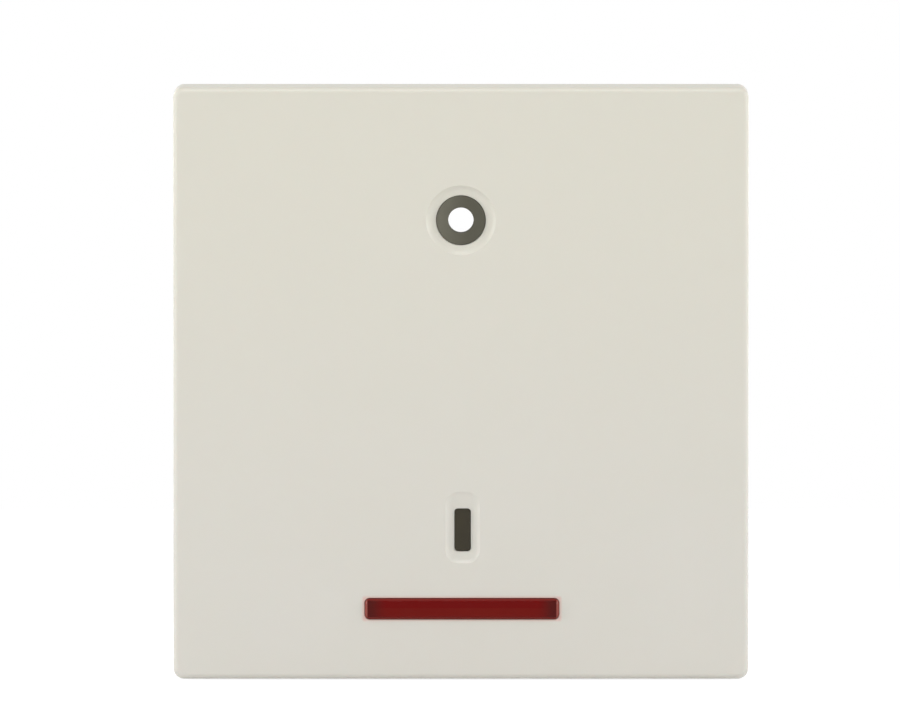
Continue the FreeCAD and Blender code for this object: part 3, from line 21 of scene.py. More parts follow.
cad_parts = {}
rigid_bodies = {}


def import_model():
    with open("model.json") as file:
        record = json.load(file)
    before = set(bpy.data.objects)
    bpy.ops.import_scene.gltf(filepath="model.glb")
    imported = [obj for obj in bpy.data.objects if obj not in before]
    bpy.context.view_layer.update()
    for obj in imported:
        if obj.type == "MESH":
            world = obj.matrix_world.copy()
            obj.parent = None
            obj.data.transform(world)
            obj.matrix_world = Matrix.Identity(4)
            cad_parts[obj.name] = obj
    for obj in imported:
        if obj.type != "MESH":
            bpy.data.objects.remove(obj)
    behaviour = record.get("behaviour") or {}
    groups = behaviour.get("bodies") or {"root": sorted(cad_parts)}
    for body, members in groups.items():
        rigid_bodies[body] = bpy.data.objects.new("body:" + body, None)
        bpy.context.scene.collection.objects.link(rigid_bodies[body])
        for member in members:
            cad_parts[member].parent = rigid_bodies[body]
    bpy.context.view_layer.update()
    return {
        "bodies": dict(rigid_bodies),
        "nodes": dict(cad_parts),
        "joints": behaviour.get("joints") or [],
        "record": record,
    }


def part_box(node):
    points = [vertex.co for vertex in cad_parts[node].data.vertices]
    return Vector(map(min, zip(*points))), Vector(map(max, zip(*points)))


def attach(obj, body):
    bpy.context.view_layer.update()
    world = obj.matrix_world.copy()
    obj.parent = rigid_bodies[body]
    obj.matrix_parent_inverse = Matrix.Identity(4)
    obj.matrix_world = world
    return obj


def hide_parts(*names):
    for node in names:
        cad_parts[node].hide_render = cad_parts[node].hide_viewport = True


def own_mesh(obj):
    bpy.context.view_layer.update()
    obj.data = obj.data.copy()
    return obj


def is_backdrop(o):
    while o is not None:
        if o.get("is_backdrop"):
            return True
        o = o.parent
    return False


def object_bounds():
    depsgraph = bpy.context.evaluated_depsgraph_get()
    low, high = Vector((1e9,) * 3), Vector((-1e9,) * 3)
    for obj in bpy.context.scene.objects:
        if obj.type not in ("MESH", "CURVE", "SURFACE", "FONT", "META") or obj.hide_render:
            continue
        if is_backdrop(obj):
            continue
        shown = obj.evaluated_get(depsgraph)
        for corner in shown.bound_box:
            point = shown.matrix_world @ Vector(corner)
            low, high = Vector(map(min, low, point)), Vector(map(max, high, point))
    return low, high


logging.basicConfig(level=logging.INFO, format="%(message)s")
log = logging.getLogger("switch")

MM = 0.001
SIDES = (("left", -1), ("right", 1))
SMOOTH_ANGLE = math.radians(32)
SOFTEN_ANGLE = math.radians(40)
FLAT_ANGLE = math.radians(0.5)
WELD_MM = 0.0005
OVERLAP_MM = 0.2
CLEAR_MM = 1.0
REST_TILT = math.radians(3.5)
WINDOW_MIDDLE = (0.12, -10.7, -27.06)
NOISE_RANGE = (0.3, 0.7)

Piece = bpy.types.Object
Tree = bpy.types.NodeTree
Socket = bpy.types.NodeSocket
Triple = tuple[float, float, float]
Pair = tuple[float, float]


# Modelling with Blender's own operators


class Kind(Enum):
    """What a selection is made of."""

    EDGES = "EDGE"
    FACES = "FACE"


class Axis(Enum):
    """A direction that edges or an outline run along."""

    X = 0
    Y = 1
    Z = 2


def activate(piece: Piece) -> None:
    """Make a piece the only selected and the active one.

    Args:
        piece: The piece.
    """
    bpy.ops.object.select_all(action="DESELECT")
    piece.select_set(True)
    bpy.context.view_layer.objects.active = piece


@contextmanager
def editing(piece: Piece, kind: Kind) -> Iterator[bmesh.types.BMesh]:
    """Open a piece in edit mode with nothing selected.

    Args:
        piece: The mesh to edit.
        kind: Whether edges or faces are going to be selected.

    Yields:
        The mesh under edit.
    """
    activate(piece)
    bpy.ops.object.mode_set(mode="EDIT")
    bpy.ops.mesh.select_mode(type=kind.value)
    bpy.ops.mesh.select_all(action="DESELECT")
    try:
        yield bmesh.from_edit_mesh(piece.data)
    finally:
        bpy.ops.object.mode_set(mode="OBJECT")


def choose(piece: Piece, elements: Iterable[object]) -> int:
    """Select elements of the mesh under edit.

    Args:
        piece: The piece in edit mode.
        elements: The edges or faces to select.

    Returns:
        How many were selected.
    """
    count = 0
    for element in elements:
        element.select_set(True)
        count += 1
    bmesh.update_edit_mesh(piece.data)
    return count


def inside(elements: Iterable[object], test: Callable[[Vector], bool]) -> list[object]:
    """The edges or faces all of whose vertices pass a test of their place."""
    return [element for element in elements if all(test(v.co) for v in element.verts)]


def slice_at(piece: Piece, axis: Axis, level: float) -> None:
    """Divide the faces of a piece along a plane, and keep both sides.

    Args:
        piece: The piece.
        axis: The axis that the plane is square to.
        level: The plane's place on that axis, in millimetres.
    """
    normal = Vector([float(i == axis.value) for i in range(3)])
    with editing(piece, Kind.FACES):
        bpy.ops.mesh.select_all(action="SELECT")
        bpy.ops.mesh.bisect(plane_co=normal * level, plane_no=normal)


def modify(piece: Piece, kind: str, **settings: object) -> None:
    """Add a modifier to a piece and apply it.

    Args:
        piece: The piece.
        kind: The modifier's type.
        **settings: Its settings, by name.
    """
    modifier = piece.modifiers.new(kind.lower(), kind)
    for name, value in settings.items():
        setattr(modifier, name, value)
    activate(piece)
    bpy.ops.object.modifier_apply(modifier=modifier.name)


def block(name: str, low: Triple, high: Triple) -> Piece:
    """A box between two corners.

    Args:
        name: The piece's name.
        low: Lowest corner, in millimetres.
        high: Highest corner, in millimetres.

    Returns:
        The new piece, with its place in its mesh.
    """
    bpy.ops.object.select_all(action="DESELECT")
    middle = [(a + b) / 2 for a, b in zip(low, high)]
    size = [b - a for a, b in zip(low, high)]
    bpy.ops.mesh.primitive_cube_add(size=1.0, location=middle, scale=size)
    piece = bpy.context.object
    piece.name = name
    bpy.ops.object.transform_apply(location=True, rotation=True, scale=True)
    return piece


def bevel(
    piece: Piece, test: Callable[[Vector, Vector], bool], width: float, segments: int = 2
) -> None:
    """Round the edges whose two ends pass a test.

    Args:
        piece: The piece to bevel.
        test: Tells from an edge's two ends whether it is bevelled.
        width: Width of the bevel, in millimetres.
        segments: Number of segments across the bevel.
    """
    with editing(piece, Kind.EDGES) as mesh:
        edges = [edge for edge in mesh.edges if test(edge.verts[0].co, edge.verts[1].co)]
        if choose(piece, edges):
            bpy.ops.mesh.bevel(
                offset=width, segments=segments, profile=0.5, affect="EDGES", clamp_overlap=True
            )


def along(axis: Axis) -> Callable[[Vector, Vector], bool]:
    """A test for edges that run along an axis."""
    others = [i for i in range(3) if i != axis.value]
    return lambda a, b: all(abs(a[i] - b[i]) < WELD_MM for i in others)


def at_level(axis: Axis, level: float) -> Callable[[Vector, Vector], bool]:
    """A test for edges that lie at one level of an axis."""
    i = axis.value
    return lambda a, b: abs(a[i] - level) < WELD_MM and abs(b[i] - level) < WELD_MM


def rounded_block(
    name: str, low: Triple, high: Triple, radius: float, segments: int = 6
) -> Piece:
    """A box whose four edges along Y are rounded.

    Args:
        name: The piece's name.
        low: Lowest corner, in millimetres.
        high: Highest corner, in millimetres.
        radius: Radius of the rounded edges.
        segments: Number of segments of each rounding.

    Returns:
        The new piece.
    """
    piece = block(name, low, high)
    bevel(piece, along(Axis.Y), radius, segments)
    return piece


def drum(name: str, centre: Triple, radii: Pair, length: float, vertices: int = 96) -> Piece:
    """A round bar or frustum along Y.

    Args:
        name: The piece's name.
        centre: Middle of its front face.
        radii: Radius at the front and at the back.
        length: Length along Y.
        vertices: Number of vertices round it.

    Returns:
        The new piece.
    """
    bpy.ops.object.select_all(action="DESELECT")
    x, y, z = centre
    bpy.ops.mesh.primitive_cone_add(
        vertices=vertices, radius1=radii[1], radius2=radii[0], depth=length,
        location=(x, y + length / 2, z), rotation=(math.pi / 2, 0, 0),
    )
    piece = bpy.context.object
    piece.name = name
    bpy.ops.object.transform_apply(location=True, rotation=True, scale=True)
    return piece


def combine(piece: Piece, tools: Iterable[Piece], operation: str = "DIFFERENCE") -> None:
    """Cut tools out of a piece, or unite them with it, and remove the tools.

    Args:
        piece: The piece that stays.
        tools: The pieces that cut it or become part of it.
        operation: The modifier's operation.
    """
    for tool in tools:
        modify(piece, "BOOLEAN", operation=operation, solver="EXACT", object=tool)
        bpy.data.objects.remove(tool)


def weld(piece: Piece, flat: bool = True) -> None:
    """Merge doubles, and dissolve edges inside flat faces.

    Args:
        piece: The piece to clean.
        flat: Whether edges inside flat faces are dissolved.
    """
    with editing(piece, Kind.FACES):
        bpy.ops.mesh.select_all(action="SELECT")
        bpy.ops.mesh.remove_doubles(threshold=WELD_MM)
        if flat:
            bpy.ops.mesh.dissolve_limited(angle_limit=FLAT_ANGLE)


def soften(piece: Piece, width: float) -> None:
    """Round all sharp edges a little, as a mould or a press leaves them.

    Args:
        piece: The piece to soften.
        width: Width of the rounding, in millimetres.
    """
    modify(
        piece, "BEVEL", width=width, segments=2, limit_method="ANGLE", angle_limit=SOFTEN_ANGLE,
        use_clamp_overlap=True,
    )


def smooth(piece: Piece) -> None:
    """Shade a piece smooth over its bevels and flat over its faces.

    Args:
        piece: The piece.
    """
    activate(piece)
    bpy.ops.object.shade_smooth_by_angle(angle=SMOOTH_ANGLE)
    modify(piece, "WEIGHTED_NORMAL", keep_sharp=True)


def outline_piece(name: str, points: Sequence[Triple], closed: bool) -> Piece:
    """A chain of edges through points, made from a circle's vertices.

    Args:
        name: The piece's name.
        points: The points, in millimetres.
        closed: Whether the last point joins the first.

    Returns:
        The new piece, with edges only.
    """
    bpy.ops.object.select_all(action="DESELECT")
    bpy.ops.mesh.primitive_circle_add(vertices=len(points), radius=1.0, fill_type="NOTHING")
    piece = bpy.context.object
    piece.name = name
    with editing(piece, Kind.EDGES) as mesh:
        mesh.verts.ensure_lookup_table()
        for vertex, point in zip(mesh.verts, points):
            vertex.co = Vector(point)
        if not closed:
            last = next(
                edge for edge in mesh.edges
                if {vertex.index for vertex in edge.verts} == {0, len(points) - 1}
            )
            choose(piece, [last])
            bpy.ops.mesh.delete(type="EDGE")
    return piece


def lathe(name: str, profile: Sequence[Pair], closed: bool = False, steps: int = 64) -> Piece:
    """A turned piece about the Y axis.

    Args:
        name: The piece's name.
        profile: Points as depth and radius, in millimetres.
        closed: Whether the profile is a closed loop that stays off the axis.
        steps: Number of steps round the axis.

    Returns:
        The new piece, on the axis.
    """
    piece = outline_piece(name, [(radius, depth, 0.0) for depth, radius in profile], closed)
    with editing(piece, Kind.EDGES):
        bpy.ops.mesh.select_all(action="SELECT")
        bpy.ops.mesh.spin(steps=steps, angle=2 * math.pi, center=(0, 0, 0), axis=(0, 1, 0))
        bpy.ops.mesh.select_all(action="SELECT")
        bpy.ops.mesh.remove_doubles(threshold=WELD_MM)
        bpy.ops.mesh.normals_make_consistent(inside=False)
    return piece


def move(piece: Piece, matrix: Matrix) -> None:
    """Move a piece and put the move into its mesh, so that its object stays at the origin.

    Args:
        piece: The piece.
        matrix: The move.
    """
    activate(piece)
    piece.matrix_world = matrix
    bpy.ops.object.transform_apply(location=True, rotation=True, scale=True)


def join(name: str, pieces: Sequence[Piece]) -> Piece:
    """Join pieces into one object.

    Args:
        name: The joined piece's name.
        pieces: The pieces, the first of which stays.

    Returns:
        The joined piece.
    """
    activate(pieces[0])
    for piece in pieces[1:]:
        piece.select_set(True)
    bpy.ops.object.join()
    pieces[0].name = name
    return pieces[0]


def copy_of(piece: Piece, name: str) -> Piece:
    """A copy of a piece with a mesh of its own.

    Args:
        piece: The piece to copy.
        name: The copy's name.

    Returns:
        The copy, with no parent.
    """
    twin = bpy.data.objects.new(name, piece.data.copy())
    bpy.context.scene.collection.objects.link(twin)
    return twin


def cad_copy(node: str, name: str) -> Piece:
    """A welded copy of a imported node, in millimetres.

    Args:
        node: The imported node.
        name: The copy's name.

    Returns:
        The copy, ready to be modelled further.
    """
    twin = copy_of(bpy.data.objects[node], name)
    twin.data.materials.clear()
    move(twin, Matrix.Scale(1 / MM, 4))
    weld(twin)
    return twin


# Finishes


def linear(code: str) -> tuple[float, float, float, float]:
    """A colour from its sRGB hex code.

    Args:
        code: Six hex digits after a hash.

    Returns:
        The linear colour, opaque.
    """
    parts = [int(code[i:i + 2], 16) / 255 for i in (1, 3, 5)]
    red, green, blue = (
        part / 12.92 if part <= 0.04045 else ((part + 0.055) / 1.055) ** 2.4 for part in parts
    )
    return red, green, blue, 1.0


def per_mm(size: float) -> float:
    """A texture scale from the real size of what it repeats, in millimetres."""
    return 1 / (size * MM)


def add(
    tree: Tree, kind: str, settings: dict[str | int, object] | None = None
) -> bpy.types.Node:
    """Add a node with its settings and links.

    Args:
        tree: The node tree.
        kind: The node's type.
        settings: Values of its inputs or of the node itself, and outputs that feed its inputs,
            by name or by the input's number.

    Returns:
        The node.
    """
    node = tree.nodes.new(kind)
    for name, value in (settings or {}).items():
        if isinstance(value, Socket):
            tree.links.new(value, node.inputs[name])
        elif isinstance(name, int) or name in node.inputs:
            node.inputs[name].default_value = value
        else:
            setattr(node, name, value)
    return node


def emptied(owner: bpy.types.Material | bpy.types.World) -> Tree:
    """Empty the node tree of a material or of the world.

    Args:
        owner: The material or the world.

    Returns:
        Its node tree, with nothing in it.
    """
    owner.use_nodes = True
    owner.node_tree.nodes.clear()
    return owner.node_tree


def run_over(tree: Tree, length: Socket, span_mm: Pair, before: object, after: object) -> Socket:
    """One colour up to a length, another one past it, and a soft run between them.

    Args:
        tree: The node tree.
        length: The length, in metres.
        span_mm: Where the run starts and ends, in millimetres.
        before: The colour before it, a value or an output.
        after: The colour past it.

    Returns:
        The colour output.
    """
    start, end = span_mm
    share = add(tree, "ShaderNodeMapRange", {
        "interpolation_type": "SMOOTHSTEP", "From Min": start * MM, "From Max": end * MM,
        "Value": length,
    })
    mix = add(tree, "ShaderNodeMix", {
        "data_type": "RGBA", 0: share.outputs["Result"], 6: before, 7: after,
    })
    return mix.outputs[2]


def off_window(tree: Tree, place: Socket) -> Socket:
    """How far a point is from the window's middle: across, into and up the tilted face.

    Args:
        tree: The node tree.
        place: The coordinates.

    Returns:
        The three distances, none below nothing.
    """
    own = add(tree, "ShaderNodeMapping", {
        "vector_type": "TEXTURE", "Location": [part * MM for part in WINDOW_MIDDLE],
        "Rotation": (REST_TILT, 0, 0), "Vector": place,
    })
    off = add(tree, "ShaderNodeVectorMath", {"operation": "ABSOLUTE", 0: own.outputs["Vector"]})
    return off.outputs["Vector"]


@dataclass(frozen=True)
class Finish:
    """What all finishes share: a colour that wanders a little, varied gloss and a fine relief."""

    name: str
    color: str
    roughness: float
    tint: str
    metallic: float = 0.0
    ior: float = 1.5
    mottle_mm: float = 6.0
    grain_mm: float = 0.3
    grain_depth_mm: float = 0.004
    gloss_swing: float = 0.06
    stretch: Triple = (1.0, 1.0, 1.0)
    transmission: float = 0.0
    subsurface: float = 0.0
    subsurface_mm: float = 0.5
    specular: float = 0.5

    def material(self) -> bpy.types.Material:
        """Build the node material, or return it if it is there.

        Returns:
            The material.
        """
        made = bpy.data.materials.get(self.name)
        if made:
            return made
        made = bpy.data.materials.new(self.name)
        tree = emptied(made)
        place = add(tree, "ShaderNodeTexCoord").outputs["Object"]
        place = add(tree, "ShaderNodeMapping", {"Scale": self.stretch, "Vector": place})
        place = place.outputs["Vector"]
        shader = add(tree, "ShaderNodeBsdfPrincipled", {
            "Metallic": self.metallic, "IOR": self.ior, "Specular IOR Level": self.specular,
            "Transmission Weight": self.transmission, "Subsurface Weight": self.subsurface,
            "Subsurface Scale": self.subsurface_mm * MM,
            "Base Color": self.color_socket(tree, place),
            "Roughness": self.gloss_socket(tree, place),
            "Normal": self.relief_socket(tree, place),
        })
        add(tree, "ShaderNodeOutputMaterial", {"Surface": shader.outputs["BSDF"]})
        return made

    def color_socket(self, tree: Tree, place: Socket) -> Socket:
        """The colour, which wanders towards its tint over a few millimetres.

        Args:
            tree: The node tree.
            place: The coordinates.

        Returns:
            The colour output.
        """
        cloud = add(tree, "ShaderNodeTexNoise", {
            "Scale": per_mm(self.mottle_mm), "Detail": 4.0, "Roughness": 0.55, "Vector": place,
        })
        ramp = add(tree, "ShaderNodeValToRGB", {"Fac": cloud.outputs["Fac"]})
        for end, position, color in zip(
            ramp.color_ramp.elements, NOISE_RANGE, (self.color, self.tint)
        ):
            end.position, end.color = position, linear(color)
        return ramp.outputs["Color"]

    def gloss_socket(self, tree: Tree, place: Socket) -> Socket:
        """The roughness, which swings a little with the handling and the tool marks.

        Args:
            tree: The node tree.
            place: The coordinates.

        Returns:
            The roughness output.
        """
        cloud = add(tree, "ShaderNodeTexNoise", {
            "Scale": per_mm(self.mottle_mm / 2), "Detail": 3.0, "Vector": place,
        })
        swing = add(tree, "ShaderNodeMapRange", {
            "From Min": NOISE_RANGE[0], "From Max": NOISE_RANGE[1],
            "To Min": self.roughness - self.gloss_swing,
            "To Max": self.roughness + self.gloss_swing, "Value": cloud.outputs["Fac"],
        })
        return swing.outputs["Result"]

    def relief_socket(self, tree: Tree, place: Socket) -> Socket:
        """The fine relief of the surface.

        Args:
            tree: The node tree.
            place: The coordinates.

        Returns:
            The normal output.
        """
        grain = add(tree, "ShaderNodeTexNoise", {
            "Scale": per_mm(self.grain_mm), "Detail": 2.0, "Vector": place,
        })
        relief = add(tree, "ShaderNodeBump", {
            "Strength": 1.0, "Distance": self.grain_depth_mm * MM, "Height": grain.outputs["Fac"],
        })
        return relief.outputs["Normal"]


@dataclass(frozen=True)
class RunningFinish(Finish):
    """A finish whose colour runs over to another one along an axis of the tilted face."""

    other: str = "#808080"
    axis: Axis = Axis.X
    run_mm: Pair = (-1.0, 1.0)

    def color_socket(self, tree: Tree, place: Socket) -> Socket:
        """The colour before the run, and the other one past it.

        Args:
            tree: The node tree.
            place: The coordinates.

        Returns:
            The colour output.
        """
        own = add(tree, "ShaderNodeMapping", {
            "vector_type": "TEXTURE", "Rotation": (REST_TILT, 0, 0), "Vector": place,
        })
        parts = add(tree, "ShaderNodeSeparateXYZ", {"Vector": own.outputs["Vector"]})
        color = super().color_socket(tree, place)
        along_axis = parts.outputs[self.axis.value]
        return run_over(tree, along_axis, self.run_mm, color, linear(self.other))


@dataclass(frozen=True)
class WindowFinish(RunningFinish):
    """A tinted window's finish: two depths of red, with painted shade at its ends and painted
    highlights on its bevels.
    """

    # Painted shade at the window's two ends
    ends: str = "#551410"
    painted_shade_ends_mm: Pair = (8.8, 11.0)
    # Painted highlight on the top and bottom bevels
    painted_bevel_highlight: str = "#7c2b26"
    painted_bevel_highlight_mm: Pair = (0.95, 1.07)
    # Painted highlight on the bevels at the two ends
    rim: str = "#965048"
    painted_end_highlight_mm: Pair = (11.12, 11.24)

    def color_socket(self, tree: Tree, place: Socket) -> Socket:
        """The two reds, the painted shade at the ends, and the painted highlights on the bevels.

        Args:
            tree: The node tree.
            place: The coordinates.

        Returns:
            The colour output.
        """
        parts = add(tree, "ShaderNodeSeparateXYZ", {"Vector": off_window(tree, place)})
        red = super().color_socket(tree, place)
        for axis, span, color in (
            (Axis.X, self.painted_shade_ends_mm, self.ends), (Axis.Z, self.painted_bevel_highlight_mm, self.painted_bevel_highlight),
            (Axis.X, self.painted_end_highlight_mm, self.rim),
        ):
            red = run_over(tree, parts.outputs[axis.value], span, red, linear(color))
        return red


@dataclass(frozen=True)
class PlateFinish(RunningFinish):
    """The plate's finish, with a painted red glow on the rim of the window's hole, as of the
    window's red light.
    """

    # Painted red glow, as of light that the window throws on the plate
    glow: str = "#dcbcb2"
    painted_glow_mm: Pair = (0.0, 0.45)
    window_half: Triple = (11.5, 50.0, 1.2)

    def color_socket(self, tree: Tree, place: Socket) -> Socket:
        """The ivory, and the painted red glow round the window.

        Args:
            tree: The node tree.
            place: The coordinates.

        Returns:
            The colour output.
        """
        past = off_window(tree, place)
        half = [part * MM for part in self.window_half]
        for operation, other in (("SUBTRACT", half), ("MAXIMUM", (0.0, 0.0, 0.0))):
            step = add(tree, "ShaderNodeVectorMath", {"operation": operation, 0: past, 1: other})
            past = step.outputs["Vector"]
        reach = add(tree, "ShaderNodeVectorMath", {"operation": "LENGTH", 0: past})
        ivory = super().color_socket(tree, place)
        return run_over(tree, reach.outputs["Value"], self.painted_glow_mm, linear(self.glow), ivory)


# Urea thermoset, compression moulded in a satin mould: a warm ivory that barely varies, with a
# soft gloss. It is painted a shade lighter and yellower towards the top, as painted light from
# above. The mould's spark grain is drawn some five times too coarse, so that it shows
IVORY = PlateFinish(
    "ivory_urea", "#dbd8d0", 0.42, ior=1.55, tint="#dad7ce", mottle_mm=14, grain_mm=0.45,
    grain_depth_mm=0.0035, subsurface=0.04, other="#dddacd", axis=Axis.Z, run_mm=(-34.0, 34.0),
)
# Two-shot inlays of dark ABS, moulded: olive grey, matt, the ring painted a little paler on its
# left and darker on its right as a painted sheen
RING_GREY = RunningFinish(
    "ring_grey_abs", "#6c6a5d", 0.5, tint="#69675b", mottle_mm=2.5, grain_mm=0.2, specular=0.22,
    other="#58564a", run_mm=(-2.6, 1.2),
)
# The bar is the same dark ABS, its colour painted darker than the ring's as painted shade
BAR_GREY_AND_SHADE = Finish(
    "bar_grey_abs_and_shade", "#3c372a", 0.5, tint="#38342a", mottle_mm=2.5, grain_mm=0.2, specular=0.2
)
# Tinted polycarbonate, injection moulded and polished: deep red, browner over its lower half, with
# painted shade at its ends and painted highlights on its bevels
RED = WindowFinish(
    "red_polycarbonate", "#741208", 0.14, ior=1.58, tint="#700d06", other="#700200",
    axis=Axis.Z, run_mm=(-26.33, -26.2), grain_mm=3.0, grain_depth_mm=0.002, gloss_swing=0.03,
    transmission=0.05, specular=0.05,
)
# Glass-filled polyamide, moulded: a chalky white with a faint flow pattern
WHITE_PA = Finish("white_polyamide", "#e2e1da", 0.55, tint="#dddcd4", mottle_mm=9, grain_mm=0.35)
# Mineral-filled phenolic, compression moulded: pale grey, speckled, dull
SOCKET = Finish("grey_thermoset", "#b9bbb9", 0.62, tint="#adb0ae", mottle_mm=1.2,
                grain_mm=0.25, grain_depth_mm=0.006)
# Polyamide, injection moulded: a cooler, smoother and darker grey than the socket's
COVER = Finish("grey_polyamide", "#989c9e", 0.5, tint="#8f9496", mottle_mm=5, grain_mm=0.3)
# Dyed polyamide, injection moulded: a strong, even orange with a soft gloss
ORANGE = Finish("orange_polyamide", "#d0641f", 0.45, tint="#c65b1b", mottle_mm=5, grain_mm=0.3)
# Zinc-plated strip, blanked and pressed: cool metal with a cloudy passivated film. The crystals of
# the plating are drawn ten times too coarse, so that they show
ZINC = Finish("zinc_plated_steel", "#b9bdc1", 0.42, metallic=1.0, tint="#adb0ac", mottle_mm=5.0,
              grain_mm=1.6, grain_depth_mm=0.0025, gloss_swing=0.08, stretch=(1.0, 1.0, 0.35))
# Zinc-plated steel wire, headed and rolled: brighter than the strip, with a faint yellow film
SCREW = Finish("zinc_plated_screw", "#c4c6c2", 0.28, metallic=1.0, tint="#b3b3a8", mottle_mm=1.5,
               grain_mm=0.3, grain_depth_mm=0.002, gloss_swing=0.08)
# Drawn spring steel, oiled: a darker, greyer metal with an even sheen
SPRING = Finish("drawn_spring_steel", "#8d9093", 0.3, metallic=1.0, tint="#7d8083", mottle_mm=1.0,
                grain_mm=0.2, grain_depth_mm=0.002)
# Brass strip, rolled and blanked: warm yellow, streaked along the strip
BRASS = Finish("rolled_brass", "#d6b25e", 0.27, metallic=1.0, tint="#c8a04e", mottle_mm=2.5,
               grain_mm=0.2, grain_depth_mm=0.002, stretch=(1.0, 1.0, 0.15))
# Silver alloy, coined to a tip: nearly white, with a soft sheen
SILVER = Finish("silver_alloy", "#e6e4de", 0.22, metallic=1.0, tint="#d9d6cc", mottle_mm=0.8,
                grain_mm=0.15, grain_depth_mm=0.002)
# Soda glass tube, drawn and pinched off: clear, with a slight waviness
GLASS = Finish("lamp_glass", "#f6f8f8", 0.03, tint="#eef2f2", mottle_mm=2, grain_mm=1.5,
               grain_depth_mm=0.002, gloss_swing=0.01, transmission=1.0)
# Nickel wire, drawn: a warm grey metal
NICKEL = Finish("nickel_wire", "#b8b5ad", 0.3, metallic=1.0, tint="#a9a69e", mottle_mm=0.6,
                grain_mm=0.2, grain_depth_mm=0.002)
# Resistor lacquer, dipped and baked: beige, with a low gloss
BEIGE = Finish("resistor_lacquer", "#c8b084", 0.35, tint="#bfa578", mottle_mm=1.5, grain_mm=0.3)


def dress(piece: Piece, finish: Finish) -> None:
    """Give a piece one finish all over."""
    piece.data.materials.clear()
    piece.data.materials.append(finish.material())


@dataclass
class Assembly:
    """A sub-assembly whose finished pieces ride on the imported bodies."""

    frame: dict[str, object]
    made: list[Piece] = field(default_factory=list)

    def body_of(self, node: str) -> str:
        """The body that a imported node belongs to."""
        bodies = self.frame["record"]["behaviour"]["bodies"]
        return next(body for body, members in bodies.items() if node in members)

    def slot_of(self, node: str) -> str:
        """The material slot that the record gives a node."""
        rows = self.frame["record"]["subparts"]
        return next(row["material_slot"] for row in rows if row["node"] == node)

    def stand_in(
        self, piece: Piece, node: str, finish: Finish, matrix: Matrix | None = None
    ) -> Piece:
        """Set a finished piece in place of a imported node.

        Args:
            piece: The piece, in millimetres.
            node: The node that it replaces.
            finish: Its finish.
            matrix: Where it goes, in metres, or None where it is already in the row frame.

        Returns:
            The piece.
        """
        move(piece, (matrix or Matrix.Identity(4)) @ Matrix.Scale(MM, 4))
        smooth(piece)
        dress(piece, finish)
        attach(piece, self.body_of(node))
        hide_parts(node)
        self.made.append(piece)
        log.info("%-24s stands for %s, %d faces", piece.name, node, len(piece.data.polygons))
        return piece


